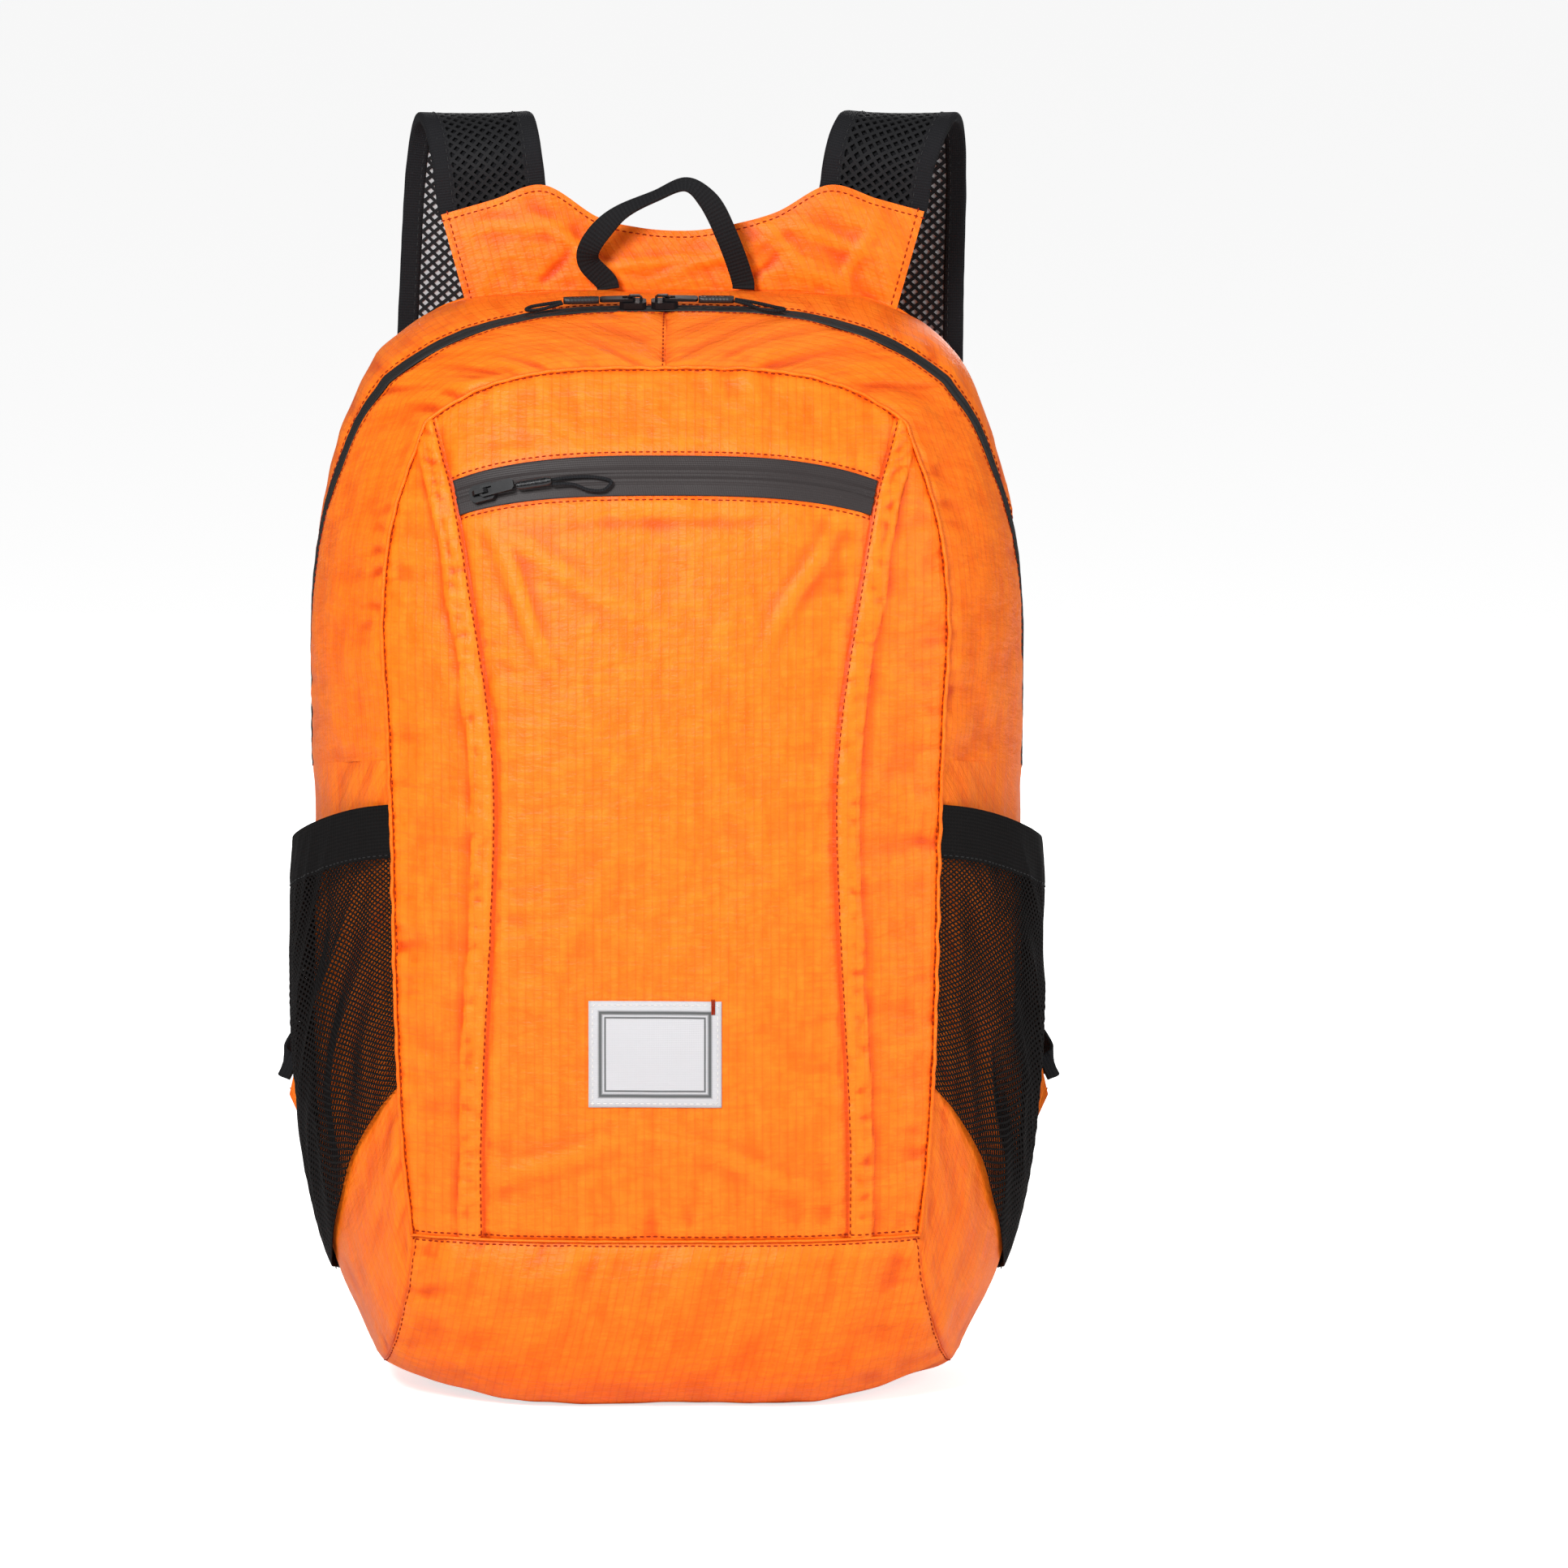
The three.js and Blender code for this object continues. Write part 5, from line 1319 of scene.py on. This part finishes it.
def buildStraps():
    half = carry["strapWidth"] / 2
    meshHalf = half - carry["bindingWidth"]
    for side, hand in sides:
        line, across, up = strapFrames(hand, side)
        far = arcs(line[None], 1)[0]

        def sheet(lift):
            def surface(u, v):
                at = v * (len(line) - 1)
                i = np.clip(np.floor(at).astype(int), 0, len(line) - 2)
                share = (at - i)[..., None]
                put = lambda rows: mix(rows[i], rows[i + 1], share)
                wide = (u - 0.5)[..., None] * 2 * (meshHalf + carry["netUnder"])
                return put(line) + put(across) * wide + put(up) * lift
            return surface

        spans = (meshHalf * 2, far[-1])
        for layer, lift, replaced in (("Front", 1, [f"shoulder_strap_{hand}"]), ("Back", -1, [])):
            piercedPiece(
                f"strapMesh{layer}_{hand}", sheet(lift * carry["netLift"]), spans, carry["holePitch"],
                carry["hole"], carry["netThick"], strapNet, replaced,
            )
        # Between the nets lies a thin lining, black near the root and grey below.
        lined = carry["linedShare"]
        for part, start, end, cloth in (("Upper", 0, lined, blackBinding), ("Lower", lined, 1, greyLining)):
            plainSheet(
                f"strapLining{part}_{hand}", lambda u, v: sheet(0)(u, mix(start, end, v)), (8, 60),
                carry["liningThick"], cloth, [], 75, flatEdges,
            )
        for edge, name in ((side, "outer"), (-side, "inner")):
            near = meshHalf + carry["bindingGap"]
            middle = (near + half) / 2
            section = roundedSection((half - near) / 2, carry["bindingFold"] / 2, 1.3, 3)
            wave = 1 + carry["bindingWave"] * ripple(far / 9, 0 * far, 70 + side + edge)
            path = line + across * (edge * middle)
            ribbon(
                f"strapBinding_{hand}_{name}", path, across, up, section, blackBinding,
                [f"strap_binding_{hand}_{name}"], wave,
            )
            seam = across * (edge * (near + carry["stitchIn"]))
            face = up * (carry["bindingFold"] / 2 + carry["stitchLift"])
            stitchLines(
                f"strapStitch_{hand}_{name}", [line + seam + face, line + seam - face], blackThread,
                3.4, 2.5, 0.24,
            )
        buildLower(side, hand, line, across, up)


def buildLower(side, hand, line, across, up):
    down = unit(np.cross(up[-1], across[-1]))
    down = -down if down[2] > 0 else down
    seat = np.array([-side, 1, 0]) * carry["seat"]
    root = lambda share: rearSeam(side, mix(*carry["tabFoot"], share)) + seat
    reach, middle = carry["tabReach"], carry["tabMiddle"]
    tipLow = root(middle) + np.array([side * reach, 5, 0])
    tipHigh = root(1) + np.array([side * reach * middle, 7, 6])

    def wing(u, v):
        at = np.array([root(share) for share in v.ravel()]).reshape(*v.shape, 3)
        return mix(at, mix(tipLow, tipHigh, v[..., None]), u[..., None]) + np.array([0, carry["tabLift"], 0])

    plainSheet(
        f"wingTab_{hand}", wing, (26, 34), carry["tabCloth"], orange, [f"wing_tab_{hand}"], 80 + side,
        {**flatEdges, "billow": 0.5, "crinkle": 0.3},
    )
    tip = mix(tipLow, tipHigh, 0.5) + np.array([side * 0.5, 0.2, 0.4])
    hang = line[-1] + down * (carry["lockHeight"] + 2 * carry["seat"])
    below = hang + down * carry["webbing"] * 0.6
    route = [mix(tip, below, way) + np.array([side * out * reach, back * reach, 0]) for way, out, back in webbingRows]
    web = smoothLine(route + [hang], 130)
    wide = unit((tipHigh - tipLow) * side)
    webAcross, webUp = frames(web, lambda share, along: mix(wide, across[-1], smooth(share * 1.4)))
    scale = mix(0.5, 1, smooth(np.linspace(0, 1, len(web)) * 18 / 5))
    section = roundedSection(carry["webbing"] / 2, carry["webbingThick"] / 2, 0.5, 2)
    ribbon(
        f"lowerWebbing_{hand}", web, webAcross, webUp, section, blackWebbing,
        [f"lower_webbing_{hand}"], scale,
    )


def buildHandle():
    seat = gusset(1, 1, carry["handleSeat"])
    rise, fold = carry["handleHeight"], carry["handleFold"]
    line = smoothLine([
        (x * carry["handleSpread"], seat[1] - y * rise, seat[2] + carry["handleLift"] + z * rise)
        for x, y, z in handleRows
    ], 150)

    def lie(share, along):
        turn = math.radians(carry["handleTwist"]) * math.exp(-(((share - fold) / carry["twistSpan"]) ** 2))
        return (-along[2] * math.cos(turn), math.sin(turn), along[0] * math.cos(turn))

    across, up = frames(line, lie)
    section = roundedSection(carry["handleWidth"] * 0.45, carry["handleThick"] / 2, 0.5, 2)
    share = np.linspace(0, 1, len(line))
    narrow = 1 - carry["handleNarrow"] * np.exp(-(((share - fold) / carry["narrowSpan"]) ** 4))
    ribbon("haulHandle", line, across, up, section, blackWebbing, ["haul_handle"], narrow)


yokeLook = {
    **flatEdges, "billow": 1.2, "crinkle": 0.8, "folds": 0.8, "reach": 9, "high": (0.35, 0, 7), "low": (1.0, 0, 9),
    "behind": (0, 200, 450),
    "creases": [
        (-34, 446, -32, 22, 2.5, 1.2), (-12, 441, 12, 26, 2.2, 1.0), (18, 443, 24, 22, 2.5, 1.0),
        (44, 450, -38, 20, 2.5, 1.0), (-62, 456, 8, 18, 2.5, 0.8), (62, 452, -14, 20, 2.5, 0.8),
        (-46, 438, 60, 14, 2.2, -0.9), (34, 436, 48, 14, 2.2, -0.9), (76, 446, 70, 14, 2.2, 0.7),
    ],
}


print("straps, webbing, handle, yoke")
buildStraps()
buildHandle()
plainSheet("yoke", yokeSurface, (150, 34), carry["yokeCloth"], orange, ["yoke"], 90, yokeLook)


# Label, grips and hard trim.
def onFront(x, z, lift):
    outer, normal = grids["front_panel"]
    rows, columns = outer.shape[:2]
    up = (z - size["bottomSeam"]) / (size["frontHeight"] - size["bottomSeam"])
    half = size["frontWidth"] / 2 * follow(frontTable, "half", up)
    j = np.clip(up / zipLow(x / half) * (rows - 1), 0, rows - 1.001)
    i = np.clip((x / half / princess(up) + 1) / 2 * (columns - 1), 0, columns - 1.001)
    i0, j0 = np.floor(i).astype(int), np.floor(j).astype(int)
    s, t = (i - i0)[..., None], (j - j0)[..., None]

    def blend(field):
        low, high = (mix(field[row, i0], field[row, i0 + 1], s) for row in (j0, j0 + 1))
        return mix(low, high, t)

    return blend(outer) + unit(blend(normal)) * np.asarray(lift)[..., None]


def buildLabel():
    u, v = shareGrid(*labelSize["grid"])
    w, h, inset = labelSize["width"], labelSize["height"], labelSize["stitchInset"]
    middle, bottom = labelSize["shift"], labelSize["bottom"]
    x, z = middle + (u - 0.5) * w, bottom + v * h
    edge = np.minimum(np.minimum(u, 1 - u) * w, np.minimum(v, 1 - v) * h)
    outer = onFront(x, z, labelSize["lift"] - labelSize["edgeDrop"] * np.exp(-((edge / 1.2) ** 2)))
    inner = onFront(x, z, labelSize["under"] + 0 * edge)
    uv = np.stack([u * w, v * h], -1)
    verts, quads, uv = shellMesh(outer, inner, facingOf(outer), uv)
    makeObject("labelPatch", verts, quads, uv, labelCloth, ["label_patch"])
    corners = [(inset, inset), (w - inset, inset), (w - inset, h - inset), (inset, h - inset), (inset, inset)]
    border = evenLine(np.array([(a, b, 0) for a, b in corners], float), 160)
    path = onFront(middle - w / 2 + border[:, 0], bottom + border[:, 1], labelSize["stitchLift"])
    stitchLines("labelStitch", [path], whiteThread, 2.4, 1.8, 0.2)
    drop = np.linspace(*labelSize["tackRun"], 24)
    tack = [
        onFront(middle + w / 2 - inset - row + 0 * drop, bottom + h + drop, labelSize["tackLift"])
        for row in labelSize["tackRows"]
    ]
    stitchLines("labelTack", tack, redThread, 0.7, 1.4, 0.28)


def cadAxes(name):
    verts = np.array([tuple(v.co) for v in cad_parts[name].data.vertices]) / mm
    axes = np.linalg.svd(verts - verts.mean(0), full_matrices=False)[2]
    half = np.array([np.ptp(verts @ axis) / 2 for axis in axes])
    middle = sum(axis * (np.max(verts @ axis) + np.min(verts @ axis)) / 2 for axis in axes)
    return middle, axes, half


gripLook = {"shorter": 0.02, "full": 1.02, "taper": 0.42, "ribs": 16, "ribDepth": 0.05, "round": 0.85}


def buildGrips():
    for name in ("front", "main_left", "main_right"):
        middle, axes, half = cadAxes(f"grip_{name}")
        share = np.linspace(-1, 1, 40)
        line = middle + share[:, None] * axes[0] * (half[0] - gripLook["shorter"])
        across, up = frames(line, lambda s, along: axes[1])
        taper = np.clip(gripLook["full"] - gripLook["taper"] * np.abs(share) ** 7, 0, 1)
        taper = taper * (1 - gripLook["ribDepth"] * np.cos(share * gripLook["ribs"]) ** 2)
        section = roundedSection(half[1], half[2], min(half[1], half[2]) * gripLook["round"], 4)
        ribbon(f"pullGrip_{name}", line, across, up, section, gripRubber, [f"grip_{name}"], taper)


def dressHardParts():
    for name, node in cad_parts.items():
        if name.startswith(("slider_", "puller_")):
            finish, slotName = zipPlastic, "zip_hardware"
        elif name.startswith("ladder_lock"):
            finish, slotName = lockPlastic, "black_plastic"
        else:
            continue
        node.data.materials.clear()
        node.data.materials.append(finish)


print("label, grips, hard parts")
buildLabel()
buildGrips()
dressHardParts()


# Seam stitches: panel, edge and distance in from the edge. A name that ends in _ stands for both sides.
stitchRuns = {
    "red": [
        ("front_side_strip_", "left", 1.9), ("front_side_strip_", "right", 0.9), ("front_top_panel", "high", 0.9),
        ("front_panel", "low", 1.8), ("front_panel", "high", 1.6), ("front_top_panel", "low", 1.6),
        ("front_side_strip_", "low", 1.8), ("front_gusset_", "right", 1.7), ("front_gusset_left", "high", 1.2),
        ("rear_strip", "low", 1.7), ("base_panel", "low", 2), ("base_panel", "left", 1.8),
        ("base_panel", "right", 1.8), ("yoke", "high", 2.6), ("yoke", "left", 2.6), ("yoke", "right", 2.6),
        ("wingTab_", "low", 2), ("wingTab_", "high", 2),
    ],
    "black": [("pocketHem_", "low", 1.2), ("pocketBinding_", "left", 1.2)],
}


def seamLines(colour):
    return [
        edgeLine(name + hand, edge, inset)
        for name, edge, inset in stitchRuns[colour]
        for hand in (("left", "right") if name.endswith("_") else ("",))
    ]


def buildStitches():
    stitchLines("seamStitches", seamLines("red"), redThread, radius=0.34)
    stitchLines("pocketStitches", seamLines("black"), blackThread)


print("stitches")
buildStitches()


# Floor.
def makeFloorMaterial():
    material, n, shader, place = startMaterial("paleFloor", {"Base Color": (0.9, 0.9, 0.9, 1), "Roughness": 0.9})
    seen = n.add("ShaderNodeLightPath").outputs["Is Camera Ray"]
    shader.inputs["Specular IOR Level"].default_value = 0.0
    shader.inputs["Emission Color"].default_value = (1, 1, 1, 1)
    n.put(shader.inputs["Emission Strength"], n.calc("MULTIPLY", seen, 0.72))
    return material


def buildFloor():
    half = 20
    mesh = bpy.data.meshes.new("floor")
    mesh.from_pydata([(-half, -half, 0), (half, -half, 0), (half, half, 0), (-half, half, 0)], [], [(0, 1, 2, 3)])
    mesh.materials.append(makeFloorMaterial())
    floor = addObject("floor", mesh)


buildFloor()
